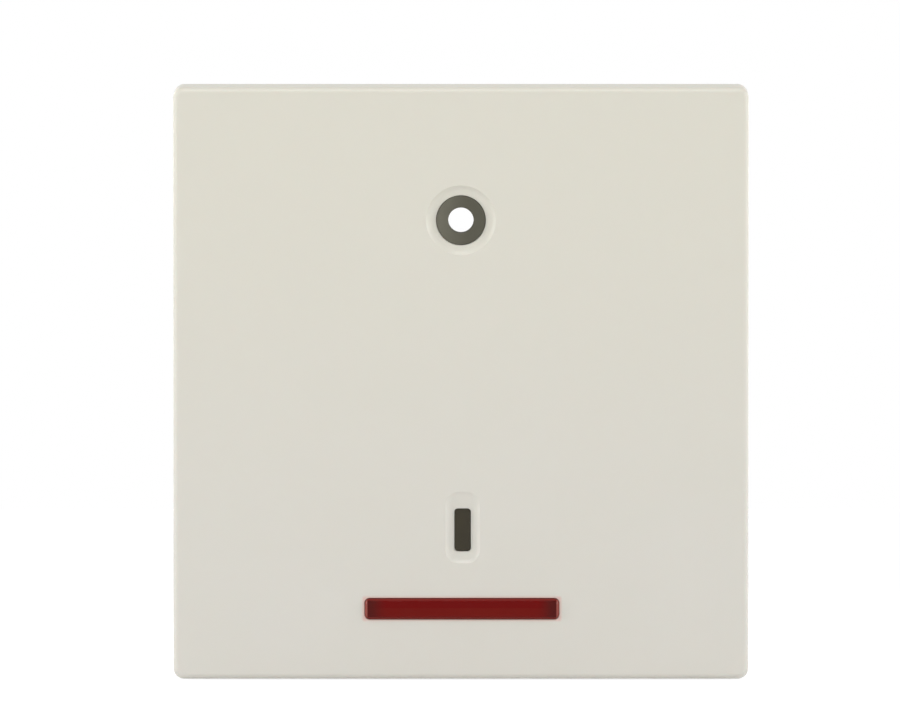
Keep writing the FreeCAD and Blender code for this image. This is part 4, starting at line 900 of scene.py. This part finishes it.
@dataclass
class Rocker(Assembly):
    """The moving front, drawn about the rocker's axis: ivory plate, ring, bar and red window."""

    # The plate's shell
    width: float = 68.0
    height: float = 70.1
    corner: float = 1.25
    front_rounding: float = 0.7
    front: float = -6.4
    face_back: float = -4.6
    skirt_end: float = 1.7
    skirt: float = 1.4
    inner_corner: float = 0.6
    inner_rounding: float = 0.35
    skirt_rounding: float = 0.12
    # Ribs, seats and snap hooks behind the face
    rib_depth: float = 2.4
    rib_thickness: float = 1.2
    rib_place: float = 24.0
    rib_top: float = 27.0
    rib_bottom: float = 31.5
    seat_rise: float = 0.6
    seat_place: float = 14.5
    seat_length: float = 23.0
    hook_place: float = 10.5
    hook_height: float = 8.5
    hook_width: float = 3.0
    hook_thickness: float = 1.2
    hook_end: float = -0.85
    nose_length: float = 1.1
    barb: float = 0.6
    # The dished recesses, as steps of depth and of how much narrower they are there
    recess_steps: tuple[Pair, ...] = ((0.0, 0.0), (0.2, 0.22), (0.32, 0.5), (0.38, 0.95))
    recess_past: float = 0.4
    ramp_deg: float = 8.5
    ramp_gap: float = 0.15
    rim_rounding: float = 0.2
    rim_reach: float = 6.0
    hole_rounding: float = 0.06
    ring_margin: float = 0.2
    bar_margin: float = 0.5
    parting_heights: tuple[float, ...] = (12.0, -11.0, -23.4)
    off_height: float = 19.3
    off_recess: float = 4.13
    on_across: float = 0.2
    on_height: float = -17.37
    on_recess_width: float = 4.07
    on_recess_height: float = 8.92
    on_recess_rise: float = 0.51
    on_recess_corner: float = 1.3
    # The off ring
    ring_radius: float = 2.89
    ring_hole: float = 1.5
    ring_flange: float = 3.9
    ring_round: Pair = (0.035, 0.12)
    ring_hole_round: Pair = (0.03, 0.1)
    ring_flange_edge: float = 0.08
    # The on bar, and what both symbols share
    bar_width: float = 1.83
    bar_height: float = 4.95
    bar_corner: float = 0.38
    bar_flange_width: float = 3.4
    bar_flange_height: float = 6.6
    bar_flange_corner: float = 0.6
    symbol_proud: float = 0.15
    symbol_bevel: float = 0.12
    symbol_flange: float = 0.6
    gap: float = 0.05
    # The window and its light guide
    lens_across: float = 0.12
    lens_height: float = -26.7
    lens_width: float = 22.95
    lens_tall: float = 2.45
    lens_corner: float = 0.6
    lens_proud: float = 0.35
    lens_bevel: float = 0.3
    lens_edge: float = 0.05
    lens_reach: float = 3.0
    lens_flange_width: float = 25.0
    lens_flange_tall: float = 4.5
    lens_flange: float = 0.8
    guide_width: float = 10.0
    guide_thickness: float = 1.2
    guide_top: float = -10.3
    guide_rounding: float = 0.25
    # The depth of the axis that it rocks about
    axis_depth: float = -5.6

    @property
    def rest(self) -> Matrix:
        """Where the rocker rests, in metres."""
        depth = Matrix.Translation((0, self.axis_depth * MM, 0))
        return depth @ Matrix.Rotation(REST_TILT, 4, "X")

    @property
    def recess_floor(self) -> float:
        """Depth of the recess floors."""
        return self.front + self.recess_steps[-1][0]

    @property
    def symbol_front(self) -> float:
        """Depth of the symbols' front faces."""
        return self.recess_floor - self.symbol_proud

    def build(self) -> None:
        """Build the moving front's pieces."""
        self.plate()
        self.ring()
        self.bar()
        self.window()

    def box_about(
        self, name: str, centre: Pair, size: Pair, depth: Pair, radius: float
    ) -> Piece:
        """A rounded box about a point of the plate's face.

        Args:
            name: The piece's name.
            centre: Sideways place and height of its middle.
            size: Width and height.
            depth: Front and back levels.
            radius: Radius of its corners.

        Returns:
            The new piece.
        """
        x, z = centre
        wide, tall = size[0] / 2, size[1] / 2
        return rounded_block(
            name, (x - wide, depth[0], z - tall), (x + wide, depth[1], z + tall), radius
        )

    def recess_tools(self) -> list[Piece]:
        """The two dished tools that press the symbols' recesses.

        Returns:
            The tools.
        """
        past, steps = self.recess_past, self.recess_steps
        profile = [(self.front - past, 0.0), (self.front - past, self.off_recess + past)]
        profile += [(self.front + deep, self.off_recess - narrower) for deep, narrower in steps]
        round_tool = lathe("off_recess_tool", [*profile, (self.recess_floor, 0.0)], steps=128)
        move(round_tool, Matrix.Translation((0, 0, self.off_height)))
        centre = (self.on_across, self.on_height + self.on_recess_rise)
        size = (self.on_recess_width + 2 * past, self.on_recess_height + 2 * past)
        upright_tool = self.box_about(
            "on_recess_tool", centre, size, (self.front - past, self.front - past / 2),
            self.on_recess_corner + past,
        )
        depth, wider = self.front - past / 2, past
        for deep, narrower in steps:
            with editing(upright_tool, Kind.FACES) as mesh:
                choose(upright_tool, inside(mesh.faces, lambda p: abs(p.y - depth) < WELD_MM))
                step = self.front + deep - depth
                bpy.ops.mesh.extrude_region_move(TRANSFORM_OT_translate={"value": (0, step, 0)})
                before = [side + 2 * (wider - past) for side in size]
                after = [side - 2 * (past + narrower) for side in size]
                bpy.ops.transform.resize(
                    value=(after[0] / before[0], 1, after[1] / before[1]),
                    center_override=(centre[0], self.front + deep, centre[1]),
                )
                depth, wider = self.front + deep, -narrower
        self.ramp(upright_tool)
        return [round_tool, upright_tool]

    def ramp(self, tool: Piece) -> None:
        """Tilt the upright recess's floor above the bar, so that it runs out towards the face.

        Args:
            tool: The tool of the upright recess.
        """
        start = self.on_height + self.bar_height / 2 + self.ramp_gap
        slice_at(tool, Axis.Z, start)
        with editing(tool, Kind.FACES) as mesh:
            choose(tool, inside(
                mesh.faces, lambda p: p.y > self.front + WELD_MM and p.z > start - WELD_MM
            ))
            bpy.ops.transform.rotate(
                value=-math.radians(self.ramp_deg), orient_axis="X",
                center_override=(0, self.recess_floor, start),
            )

    def hole_tools(self) -> list[Piece]:
        """The tools that cut the inlays' and the window's holes.

        Returns:
            The tools.
        """
        through = (self.front - CLEAR_MM, self.face_back + CLEAR_MM)
        return [
            drum("off_hole_tool", (0, through[0], self.off_height),
                 (self.ring_radius + self.gap,) * 2, through[1] - through[0], vertices=128),
            self.box_about("on_hole_tool", (self.on_across, self.on_height),
                           (self.bar_width + 2 * self.gap, self.bar_height + 2 * self.gap),
                           through, self.bar_corner),
            self.box_about("window_hole_tool", (self.lens_across, self.lens_height),
                           (self.lens_width + 2 * self.gap, self.lens_tall + 2 * self.gap),
                           through, self.lens_corner),
        ]

    def rear_ribs(self) -> list[Piece]:
        """Ribs, seats and hooks behind the face.

        Returns:
            The pieces to unite with the plate.
        """
        root = self.face_back - OVERLAP_MM
        rib_end = self.face_back + self.rib_depth
        place, thick = self.rib_place, self.rib_thickness
        top, bottom = self.rib_top, -self.rib_bottom
        ribs = [
            block("rib", (-place, root, top), (place, rib_end, top + thick)),
            block("rib", (-place, root, bottom), (place, rib_end, bottom + thick)),
        ]
        for _, sign in SIDES:
            inner, outer = sorted((sign * (place - thick), sign * place))
            ribs.append(block("rib", (inner, root, bottom), (outer, rib_end, top + thick)))
            middle = sign * self.seat_place
            ribs.append(block(
                "seat", (middle - thick / 2, root, -self.seat_length / 2),
                (middle + thick / 2, self.face_back + self.seat_rise, self.seat_length / 2),
            ))
            for up in (-1, 1):
                ribs.append(self.hook(sign * self.hook_place, up))
        return ribs

    def hook(self, middle: float, up: int) -> Piece:
        """One snap hook with its sloped barb.

        Args:
            middle: Its sideways place.
            up: 1 for an upper hook, -1 for a lower one.

        Returns:
            The hook.
        """
        half, thick = self.hook_width / 2, self.hook_thickness / 2
        low, high = sorted((up * (self.hook_height - thick), up * (self.hook_height + thick)))
        root, end = self.face_back - OVERLAP_MM, self.hook_end
        hook = block("hook", (middle - half, root, low), (middle + half, end, high))
        nose = end - self.nose_length
        slice_at(hook, Axis.Y, nose)
        outside = up * (self.hook_height + thick)
        with editing(hook, Kind.FACES) as mesh:
            choose(hook, inside(
                mesh.faces, lambda p: abs(p.z - outside) < WELD_MM and p.y > nose - WELD_MM
            ))
            bpy.ops.mesh.extrude_region_move(
                TRANSFORM_OT_translate={"value": (0, 0, up * self.barb)}
            )
        with editing(hook, Kind.EDGES) as mesh:
            tip = outside + up * self.barb
            choose(hook, inside(
                mesh.edges, lambda p: abs(p.z - tip) < WELD_MM and abs(p.y - end) < WELD_MM
            ))
            bpy.ops.transform.translate(value=(0, 0, -up * (self.barb + thick / 2)))
        return hook

    def plate(self) -> None:
        """The ivory plate: rounded shell, pressed recesses, holes and the ribs behind."""
        wide, tall = self.width / 2, self.height / 2
        plate = rounded_block(
            "ivory_rocker_plate", (-wide, self.front, -tall), (wide, self.skirt_end, tall),
            self.corner, segments=8,
        )
        bevel(plate, at_level(Axis.Y, self.front), self.front_rounding, 7)
        bevel(plate, at_level(Axis.Y, self.skirt_end), self.skirt_rounding)
        hollow = rounded_block(
            "hollow_tool", (self.skirt - wide, self.face_back, self.skirt - tall),
            (wide - self.skirt, self.skirt_end + CLEAR_MM, tall - self.skirt), self.inner_corner,
        )
        bevel(hollow, at_level(Axis.Y, self.face_back), self.inner_rounding, 3)
        combine(plate, [hollow])
        combine(plate, self.rear_ribs(), "UNION")
        for height in self.parting_heights:
            slice_at(plate, Axis.Z, height)
        combine(plate, self.recess_tools())
        combine(plate, self.hole_tools())
        weld(plate, flat=False)
        near = at_level(Axis.Y, self.front)
        floor = at_level(Axis.Y, self.recess_floor)
        above_window = self.lens_height + self.lens_reach

        def rim(a: Vector, b: Vector) -> bool:
            """Tell whether an edge is on a recess's rim in the face."""
            return near(a, b) and max(abs(a.x), abs(b.x)) < self.rim_reach and a.z > above_window

        def hole_edge(a: Vector, b: Vector) -> bool:
            """Tell whether an edge goes round a hole, in a recess's floor or in the face.

            Args:
                a: One end of the edge.
                b: Its other end.

            Returns:
                Whether it does.
            """
            at_window = near(a, b) and a.z < above_window and abs(a.x) < self.lens_width
            from_ring = Vector((a.x, a.z - self.off_height)).length - self.ring_radius
            at_bar = abs(a.x) < self.bar_width / 2 + self.bar_margin
            return at_window or (floor(a, b) and (from_ring < self.ring_margin or at_bar))

        bevel(plate, rim, self.rim_rounding, 4)
        bevel(plate, hole_edge, self.hole_rounding)
        self.stand_in(plate, "rocker_plate", IVORY, self.rest)

    def ring(self) -> None:
        """The off ring: a turned inlay with an open middle and a flange behind the face."""
        front, back = self.symbol_front, self.face_back
        near, far = self.ring_hole_round
        little, edge = self.ring_round
        chamfer, end = self.ring_flange_edge, back + self.symbol_flange
        profile = [
            (end, self.ring_hole), (front + far, self.ring_hole),
            (front + near, self.ring_hole + near), (front, self.ring_hole + far),
            (front, self.ring_radius - edge), (front + little, self.ring_radius - little),
            (front + edge, self.ring_radius), (back, self.ring_radius),
            (back, self.ring_flange - chamfer), (back + chamfer, self.ring_flange),
            (end, self.ring_flange),
        ]
        ring = lathe("off_ring_inlay", profile, closed=True, steps=128)
        move(ring, Matrix.Translation((0, 0, self.off_height)))
        self.stand_in(ring, "off_symbol_ring", RING_GREY, self.rest)

    def bar(self) -> None:
        """The on bar: an upright inlay with a flange behind the face."""
        centre = (self.on_across, self.on_height)
        bar = self.box_about(
            "on_bar_inlay", centre, (self.bar_width, self.bar_height),
            (self.symbol_front, self.face_back + OVERLAP_MM), self.bar_corner,
        )
        bevel(bar, at_level(Axis.Y, self.symbol_front), self.symbol_bevel, 3)
        flange = self.box_about(
            "flange", centre, (self.bar_flange_width, self.bar_flange_height),
            (self.face_back, self.face_back + self.symbol_flange), self.bar_flange_corner,
        )
        combine(bar, [flange], "UNION")
        self.stand_in(bar, "on_symbol_bar", BAR_GREY_AND_SHADE, self.rest)

    def window(self) -> None:
        """The red window: a bevelled bar of tinted plastic, with its flange and light guide."""
        front = self.front - self.lens_proud
        centre = (self.lens_across, self.lens_height)
        lens = self.box_about(
            "red_window", centre, (self.lens_width, self.lens_tall),
            (front, self.face_back + OVERLAP_MM), self.lens_corner,
        )
        bevel(lens, at_level(Axis.Y, front), self.lens_bevel, 1)
        bevel(lens, at_level(Axis.Y, front), self.lens_edge)
        flange_back = self.face_back + self.lens_flange
        flange = self.box_about(
            "flange", centre, (self.lens_flange_width, self.lens_flange_tall),
            (self.face_back, flange_back), self.lens_corner,
        )
        half, bottom = self.guide_width / 2, self.lens_height - self.lens_flange_tall / 2
        guide = block(
            "guide", (-half, flange_back - OVERLAP_MM, bottom),
            (half, flange_back + self.guide_thickness, self.guide_top),
        )
        bevel(guide, along(Axis.X), self.guide_rounding)
        combine(lens, [flange, guide], "UNION")
        self.stand_in(lens, "indicator_lens", RED, self.rest)


@dataclass
class Housing(Assembly):
    """What stays in the wall: ring, frame, socket, cover and their screws."""

    edges: tuple[tuple[str, str, Finish, float], ...] = (
        ("support_ring", "pressed_support_ring", ZINC, 0.16),
        ("bearing_frame", "moulded_bearing_frame", WHITE_PA, 0.18),
        ("socket_base", "moulded_socket", SOCKET, 0.3),
        ("rocker_cradle", "moulded_cradle", WHITE_PA, 0.18),
        ("lamp_holder", "moulded_lamp_holder", WHITE_PA, 0.15),
        ("frame_screws", "pan_head_screws", SCREW, 0.08),
    )
    cover_back: float = 29.5
    cover_edge: float = 0.12
    wire_place: float = 17.1
    wire_height: float = 10.8
    wire_radius: float = 1.5
    funnel_radius: float = 2.3
    funnel_depth: float = 0.9
    gauge_size: Pair = (9.0, 1.2)
    gauge_height: float = -13.6
    gauge_depth: float = 0.5
    gauge_corner: float = 0.3
    field_size: Pair = (19.0, 12.0)
    field_depth: float = 0.25
    field_corner: float = 0.8
    mark_radius: float = 1.6
    mark_depth: float = 0.12
    mark_height: float = 11.6
    mark_places: Triple = (-10.4, 10.4, 0.0)

    def build(self) -> None:
        """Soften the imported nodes' edges as the mould or the press leaves them."""
        for node, name, finish, width in self.edges:
            piece = cad_copy(node, name)
            soften(piece, width)
            self.stand_in(piece, node, finish)
        self.cover()

    def cover(self) -> None:
        """The rear cover: wire funnels, a stripping gauge, a bare sunk field, ejector marks."""
        cover = cad_copy("rear_cover", "moulded_rear_cover")
        back, start = self.cover_back, self.cover_back - self.funnel_depth
        radii = (self.wire_radius, self.funnel_radius + OVERLAP_MM)
        tools = [
            drum(
                "funnel_tool", (across * self.wire_place, start, up * self.wire_height), radii,
                self.funnel_depth + OVERLAP_MM, vertices=48,
            )
            for _, across in SIDES for _, up in SIDES
        ]
        sunk = (
            (self.gauge_size, self.gauge_height, self.gauge_depth, self.gauge_corner),
            (self.field_size, 0.0, self.field_depth, self.field_corner),
        )
        for (wide, tall), height, depth, corner in sunk:
            tools.append(rounded_block(
                "sinking_tool", (-wide / 2, back - depth, height - tall / 2),
                (wide / 2, back + CLEAR_MM, height + tall / 2), corner,
            ))
        tools += [
            drum(
                "mark_tool", (across, back - self.mark_depth, self.mark_height),
                (self.mark_radius,) * 2, CLEAR_MM, vertices=48,
            )
            for across in self.mark_places
        ]
        combine(cover, tools)
        weld(cover)
        soften(cover, self.cover_edge)
        self.stand_in(cover, "rear_cover", COVER)


@dataclass
class Claws(Assembly):
    """Two spreading claws with their nuts and threaded screws."""

    place: float = 24.6
    pitch: float = 0.5
    core: float = 1.2
    crest: float = 1.45
    thread_start: float = 1.0
    thread_end: float = 22.9
    screw_end: float = 23.4
    head_front: float = -3.0
    head_back: float = -1.2
    head_radius: float = 2.7
    head_rounding: float = 0.45
    head_steps: int = 6
    head_edge: float = 0.1
    runout: float = 0.25
    tip_chamfer: float = 0.35
    flank: Triple = (0.21, 0.27, 0.48)
    thread_root: float = 0.02
    thread_steps: int = 28
    nut_edge: float = 0.25
    claw_edge: float = 0.14
    cross_width: float = 0.9
    cross_depth: float = 0.8
    cross_reach: float = 1.89

    def build(self) -> None:
        """Build both sides."""
        screw = self.screw()
        for side, sign in SIDES:
            twin = copy_of(screw, f"threaded_claw_screw_{side}")
            move(twin, Matrix.Translation((sign * self.place, 0, 0)))
            self.stand_in(twin, f"claw_screw_{side}", SCREW)
            for node, name, width in (
                (f"claw_nut_{side}", f"pressed_claw_nut_{side}", self.nut_edge),
                (f"claw_{side}", f"pressed_claw_{side}", self.claw_edge),
            ):
                piece = cad_copy(node, name)
                soften(piece, width)
                self.stand_in(piece, node, ZINC)
        bpy.data.objects.remove(screw)

    def screw(self) -> Piece:
        """One screw: pan head with a cross slot, plain neck, rolled thread and chamfered end.

        Returns:
            The screw, on the Y axis.
        """
        rounding = self.head_rounding * (self.head_back - self.head_front)
        corner = [
            (self.head_front + rounding * (1 - math.cos(angle)),
             self.head_radius - rounding * (1 - math.sin(angle)))
            for angle in (
                math.pi / 2 * step / self.head_steps for step in range(self.head_steps + 1)
            )
        ]
        profile = [
            (self.head_front, 0.0), *corner, (self.head_back - self.head_edge, self.head_radius),
            (self.head_back, self.head_radius - self.head_edge), (self.head_back, self.crest),
            (self.thread_start, self.crest), (self.thread_start + self.runout, self.core),
            (self.thread_end, self.core), (self.screw_end, self.core - self.tip_chamfer),
            (self.screw_end, 0.0),
        ]
        body = lathe("claw_screw", profile, steps=48)
        reach, half = self.cross_reach, self.cross_width / 2
        for wide, tall in ((reach, half), (half, reach)):
            tool = block(
                "cross_tool", (-wide, self.head_front - CLEAR_MM, -tall),
                (wide, self.head_front + self.cross_depth, tall),
            )
            combine(body, [tool])
        return join("claw_screw", [body, self.thread()])

    def thread(self) -> Piece:
        """The rolled thread, one ridge wound round the core.

        Returns:
            The thread, on the Y axis.
        """
        inner, start = self.core - self.thread_root, self.thread_start
        up, down, end = self.flank
        flank = [
            (inner, start, 0.0), (self.crest, start + up, 0.0), (self.crest, start + down, 0.0),
            (inner, start + end, 0.0),
        ]
        ridge = outline_piece("thread", flank, closed=True)
        turns = int((self.thread_end - start) / self.pitch) - 1
        modify(
            ridge, "SCREW", axis="Y", angle=2 * math.pi, screw_offset=self.pitch, iterations=turns,
            steps=self.thread_steps, render_steps=self.thread_steps, use_merge_vertices=False,
        )
        with editing(ridge, Kind.EDGES) as mesh:
            choose(ridge, [edge for edge in mesh.edges if edge.is_boundary])
            bpy.ops.mesh.edge_face_add()
            bpy.ops.mesh.select_all(action="SELECT")
            bpy.ops.mesh.normals_make_consistent(inside=False)
        return ridge


@dataclass
class Levers(Assembly):
    """The two orange levers that open the clamps, grooved on their back for a blade or finger."""

    grooves: int = 5
    groove_pitch: float = 1.3
    groove_depth: float = 0.35
    groove_half: float = 0.28
    end_height: float = 9.6
    edge: float = 0.1

    def build(self) -> None:
        """Build both levers, with grooves across their back near both ends."""
        for side, _ in SIDES:
            node = f"release_lever_{side}"
            low, high = (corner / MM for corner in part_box(node))
            piece = cad_copy(node, f"ribbed_release_lever_{side}")
            heights = [
                up * self.end_height + (number - (self.grooves - 1) / 2) * self.groove_pitch
                for _, up in SIDES for number in range(self.grooves)
            ]
            floor, half = high.y - self.groove_depth, self.groove_half
            combine(piece, [
                block(
                    "groove_tool", (low.x - CLEAR_MM, floor, height - half),
                    (high.x + CLEAR_MM, high.y + CLEAR_MM, height + half),
                )
                for height in heights
            ])
            weld(piece)
            soften(piece, self.edge)
            self.stand_in(piece, node, ORANGE)


@dataclass
class Springs(Assembly):
    """The plungers' coil springs and the clamps' sheet springs."""

    coil_axis: Triple = (0.0, -0.9981, -0.061)
    coil_seat: Triple = (8.5, -7.2, -0.1)
    coil_keep: float = 0.967
    coil_clearance: float = 0.02
    clip_front: float = 14.0
    clip_keep: float = 0.9
    clip_edge: float = 0.08

    def build(self) -> None:
        """Build both sides."""
        for side, sign in SIDES:
            node = f"plunger_spring_{side}"
            coil = cad_copy(node, f"wound_plunger_spring_{side}")
            move(coil, Matrix.Translation(Vector(self.coil_axis) * self.coil_clearance))
            self.stand_in(coil, node, SPRING)
            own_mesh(coil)
            for level in ("upper", "lower"):
                self.clip(side, level)

    def clip(self, side: str, level: str) -> None:
        """One clamp's sheet spring, whose bend the lever's prong pushes in.

        Args:
            side: Which pole.
            level: Which of its two clamps.
        """
        node = f"clamp_spring_{level}_{side}"
        clip = cad_copy(node, f"bent_clamp_spring_{level}_{side}")
        soften(clip, self.clip_edge)
        self.stand_in(clip, node, SPRING)
        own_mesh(clip)


@dataclass
class Inside(Assembly):
    """Everything else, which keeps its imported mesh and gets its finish."""

    finishes: tuple[tuple[str, Finish], ...] = (
        ("plunger", WHITE_PA), ("contact_rocker", BRASS), ("moving_tip", SILVER),
        ("fixed_tip", SILVER), ("line_terminal", BRASS), ("load_terminal", BRASS),
        ("lamp_bulb", GLASS), ("lamp_electrodes", NICKEL), ("lamp_resistor", BEIGE),
        ("lamp_contact_pins", BRASS),
    )

    def build(self) -> None:
        """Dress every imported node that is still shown, by the stem of its name."""
        for name, node in sorted(self.frame["nodes"].items()):
            if not node.hide_render:
                dress(node, next(look for stem, look in self.finishes if name.startswith(stem)))
                self.slot_of(name)
                log.info("%-24s keeps its packed mesh", name)


@dataclass
class Studio:
    """Floor, white surroundings, soft lamps and the camera at the photo's place."""

    photo_width: int = 900
    mm_per_pixel: float = 0.1182
    camera_distance: float = 2600.0
    key_plane: float = -12.0
    camera_across: float = -1.29
    camera_height: float = 2.26
    sensor_mm: float = 36.0
    clip: Pair = (0.01, 20.0)
    ambient: float = 0.545
    mirrored: float = 0.8
    camera_side: float = 0.3
    camera_side_edge: float = -0.75
    floor_size: float = 6.0
    floor_gap: float = 0.2
    floor_color: str = "#f2f2f2"
    floor_glow: float = 0.8
    floor_shadow: float = 0.4
    lamps: tuple[tuple[str, Triple, float, float], ...] = (
        ("top_softbox", (-60.0, -480.0, 590.0), 320.0, 1.6),
        ("left_strip", (-690.0, -190.0, 120.0), 200.0, 1.4),
        ("right_strip", (690.0, -190.0, 120.0), 200.0, 1.4),
        ("rear_left_softbox", (-520.0, 560.0, 200.0), 320.0, 1.5),
        ("rear_right_softbox", (560.0, 520.0, 80.0), 320.0, 1.1),
    )

    def build(self) -> None:
        """Build the studio."""
        self.surroundings()
        self.floor()
        for name, place, size, watts in self.lamps:
            self.lamp(name, place, size, watts)
        self.camera()

    @staticmethod
    def seen_directly(tree: Tree) -> Socket:
        """One for rays from the camera, off gloss or through glass, and nothing for the others.

        Args:
            tree: The node tree.

        Returns:
            The output.
        """
        path = add(tree, "ShaderNodeLightPath")
        seen = path.outputs["Is Camera Ray"]
        for ray in ("Is Glossy Ray", "Is Transmission Ray"):
            settings = {"operation": "MAXIMUM", 0: seen, 1: path.outputs[ray]}
            seen = add(tree, "ShaderNodeMath", settings).outputs["Value"]
        return seen

    def surroundings(self) -> None:
        """White where it is seen, darker in gloss behind the camera, a plain level elsewhere."""
        world = bpy.data.worlds.new("white_surroundings")
        tree = emptied(world)
        path = add(tree, "ShaderNodeLightPath")
        way = add(tree, "ShaderNodeTexCoord").outputs["Generated"]
        across = add(tree, "ShaderNodeSeparateXYZ", {"Vector": way})
        shade = add(tree, "ShaderNodeMapRange", {
            "interpolation_type": "SMOOTHSTEP", "From Min": -1.0,
            "From Max": self.camera_side_edge, "To Min": self.camera_side,
            "To Max": self.mirrored, "Value": across.outputs["Y"],
        })
        reflected = add(tree, "ShaderNodeMapRange", {
            "Value": path.outputs["Is Glossy Ray"], "To Min": 1.0,
            "To Max": shade.outputs["Result"],
        })
        strength = add(tree, "ShaderNodeMapRange", {
            "Value": self.seen_directly(tree), "To Min": self.ambient,
            "To Max": reflected.outputs["Result"],
        })
        light = add(tree, "ShaderNodeBackground", {
            "Color": linear("#ffffff"), "Strength": strength.outputs["Result"],
        })
        add(tree, "ShaderNodeOutputWorld", {"Surface": light.outputs["Background"]})
        bpy.context.scene.world = world

    def floor(self) -> None:
        """A pale floor just below the part, which reads as white and keeps a soft shadow."""
        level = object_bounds()[0].z - self.floor_gap * MM
        bpy.ops.object.select_all(action="DESELECT")
        bpy.ops.mesh.primitive_plane_add(size=self.floor_size, location=(0, 0, level))
        floor = bpy.context.object
        floor.name = "pale_floor"
        bpy.ops.object.transform_apply(location=True, rotation=True, scale=True)
        # White card, matt and lit from all round: plain white to the eye, with a soft shadow
        material = bpy.data.materials.new("pale_floor")
        tree = emptied(material)
        pale = add(tree, "ShaderNodeBsdfDiffuse", {"Color": linear(self.floor_color)})
        glow = add(tree, "ShaderNodeEmission", {"Strength": self.floor_glow})
        grey = (self.floor_shadow,) * 3 + (1.0,)
        soft = add(tree, "ShaderNodeBsdfDiffuse", {"Color": grey})
        seen = add(tree, "ShaderNodeAddShader", {
            0: glow.outputs["Emission"], 1: soft.outputs["BSDF"],
        })
        both = add(tree, "ShaderNodeMixShader", {
            "Fac": self.seen_directly(tree), 1: pale.outputs["BSDF"], 2: seen.outputs["Shader"],
        })
        add(tree, "ShaderNodeOutputMaterial", {"Surface": both.outputs["Shader"]})
        floor.data.materials.append(material)
        floor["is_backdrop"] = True

    def lamp(self, name: str, place: Triple, size: float, watts: float) -> None:
        """A soft square lamp that looks at the part.

        Args:
            name: The lamp's name.
            place: Where it hangs, in millimetres.
            size: Its side, in millimetres.
            watts: Its power.
        """
        data = bpy.data.lights.new(name, "AREA")
        data.shape = "SQUARE"
        data.size = size * MM
        data.energy = watts
        lamp = bpy.data.objects.new(name, data)
        bpy.context.scene.collection.objects.link(lamp)
        lamp.location = Vector(place) * MM
        lamp.rotation_euler = (-lamp.location).to_track_quat("-Z", "Y").to_euler()

    def camera(self) -> None:
        """A long lens straight in front, a little left of the middle and above it."""
        data = bpy.data.cameras.new("front_camera")
        data.sensor_fit = "HORIZONTAL"
        data.sensor_width = self.sensor_mm
        data.lens = self.sensor_mm * self.camera_distance / (self.photo_width * self.mm_per_pixel)
        data.clip_start, data.clip_end = self.clip
        camera = bpy.data.objects.new("front_camera", data)
        bpy.context.scene.collection.objects.link(camera)
        camera.location = Vector(
            (self.camera_across, self.key_plane - self.camera_distance, self.camera_height)
        ) * MM
        camera.rotation_euler = (math.pi / 2, 0, 0)
        bpy.context.scene.camera = camera


def main() -> None:
    """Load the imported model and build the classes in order."""
    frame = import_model()
    bpy.context.scene.view_settings.view_transform = "Standard"
    parts = (
        Rocker(frame), Housing(frame), Claws(frame), Levers(frame), Springs(frame), Inside(frame),
    )
    for part in parts:
        part.build()
        log.info("%s: %d pieces", type(part).__name__, len(part.made))
    Studio().build()


if __name__ == "__main__":
    main()
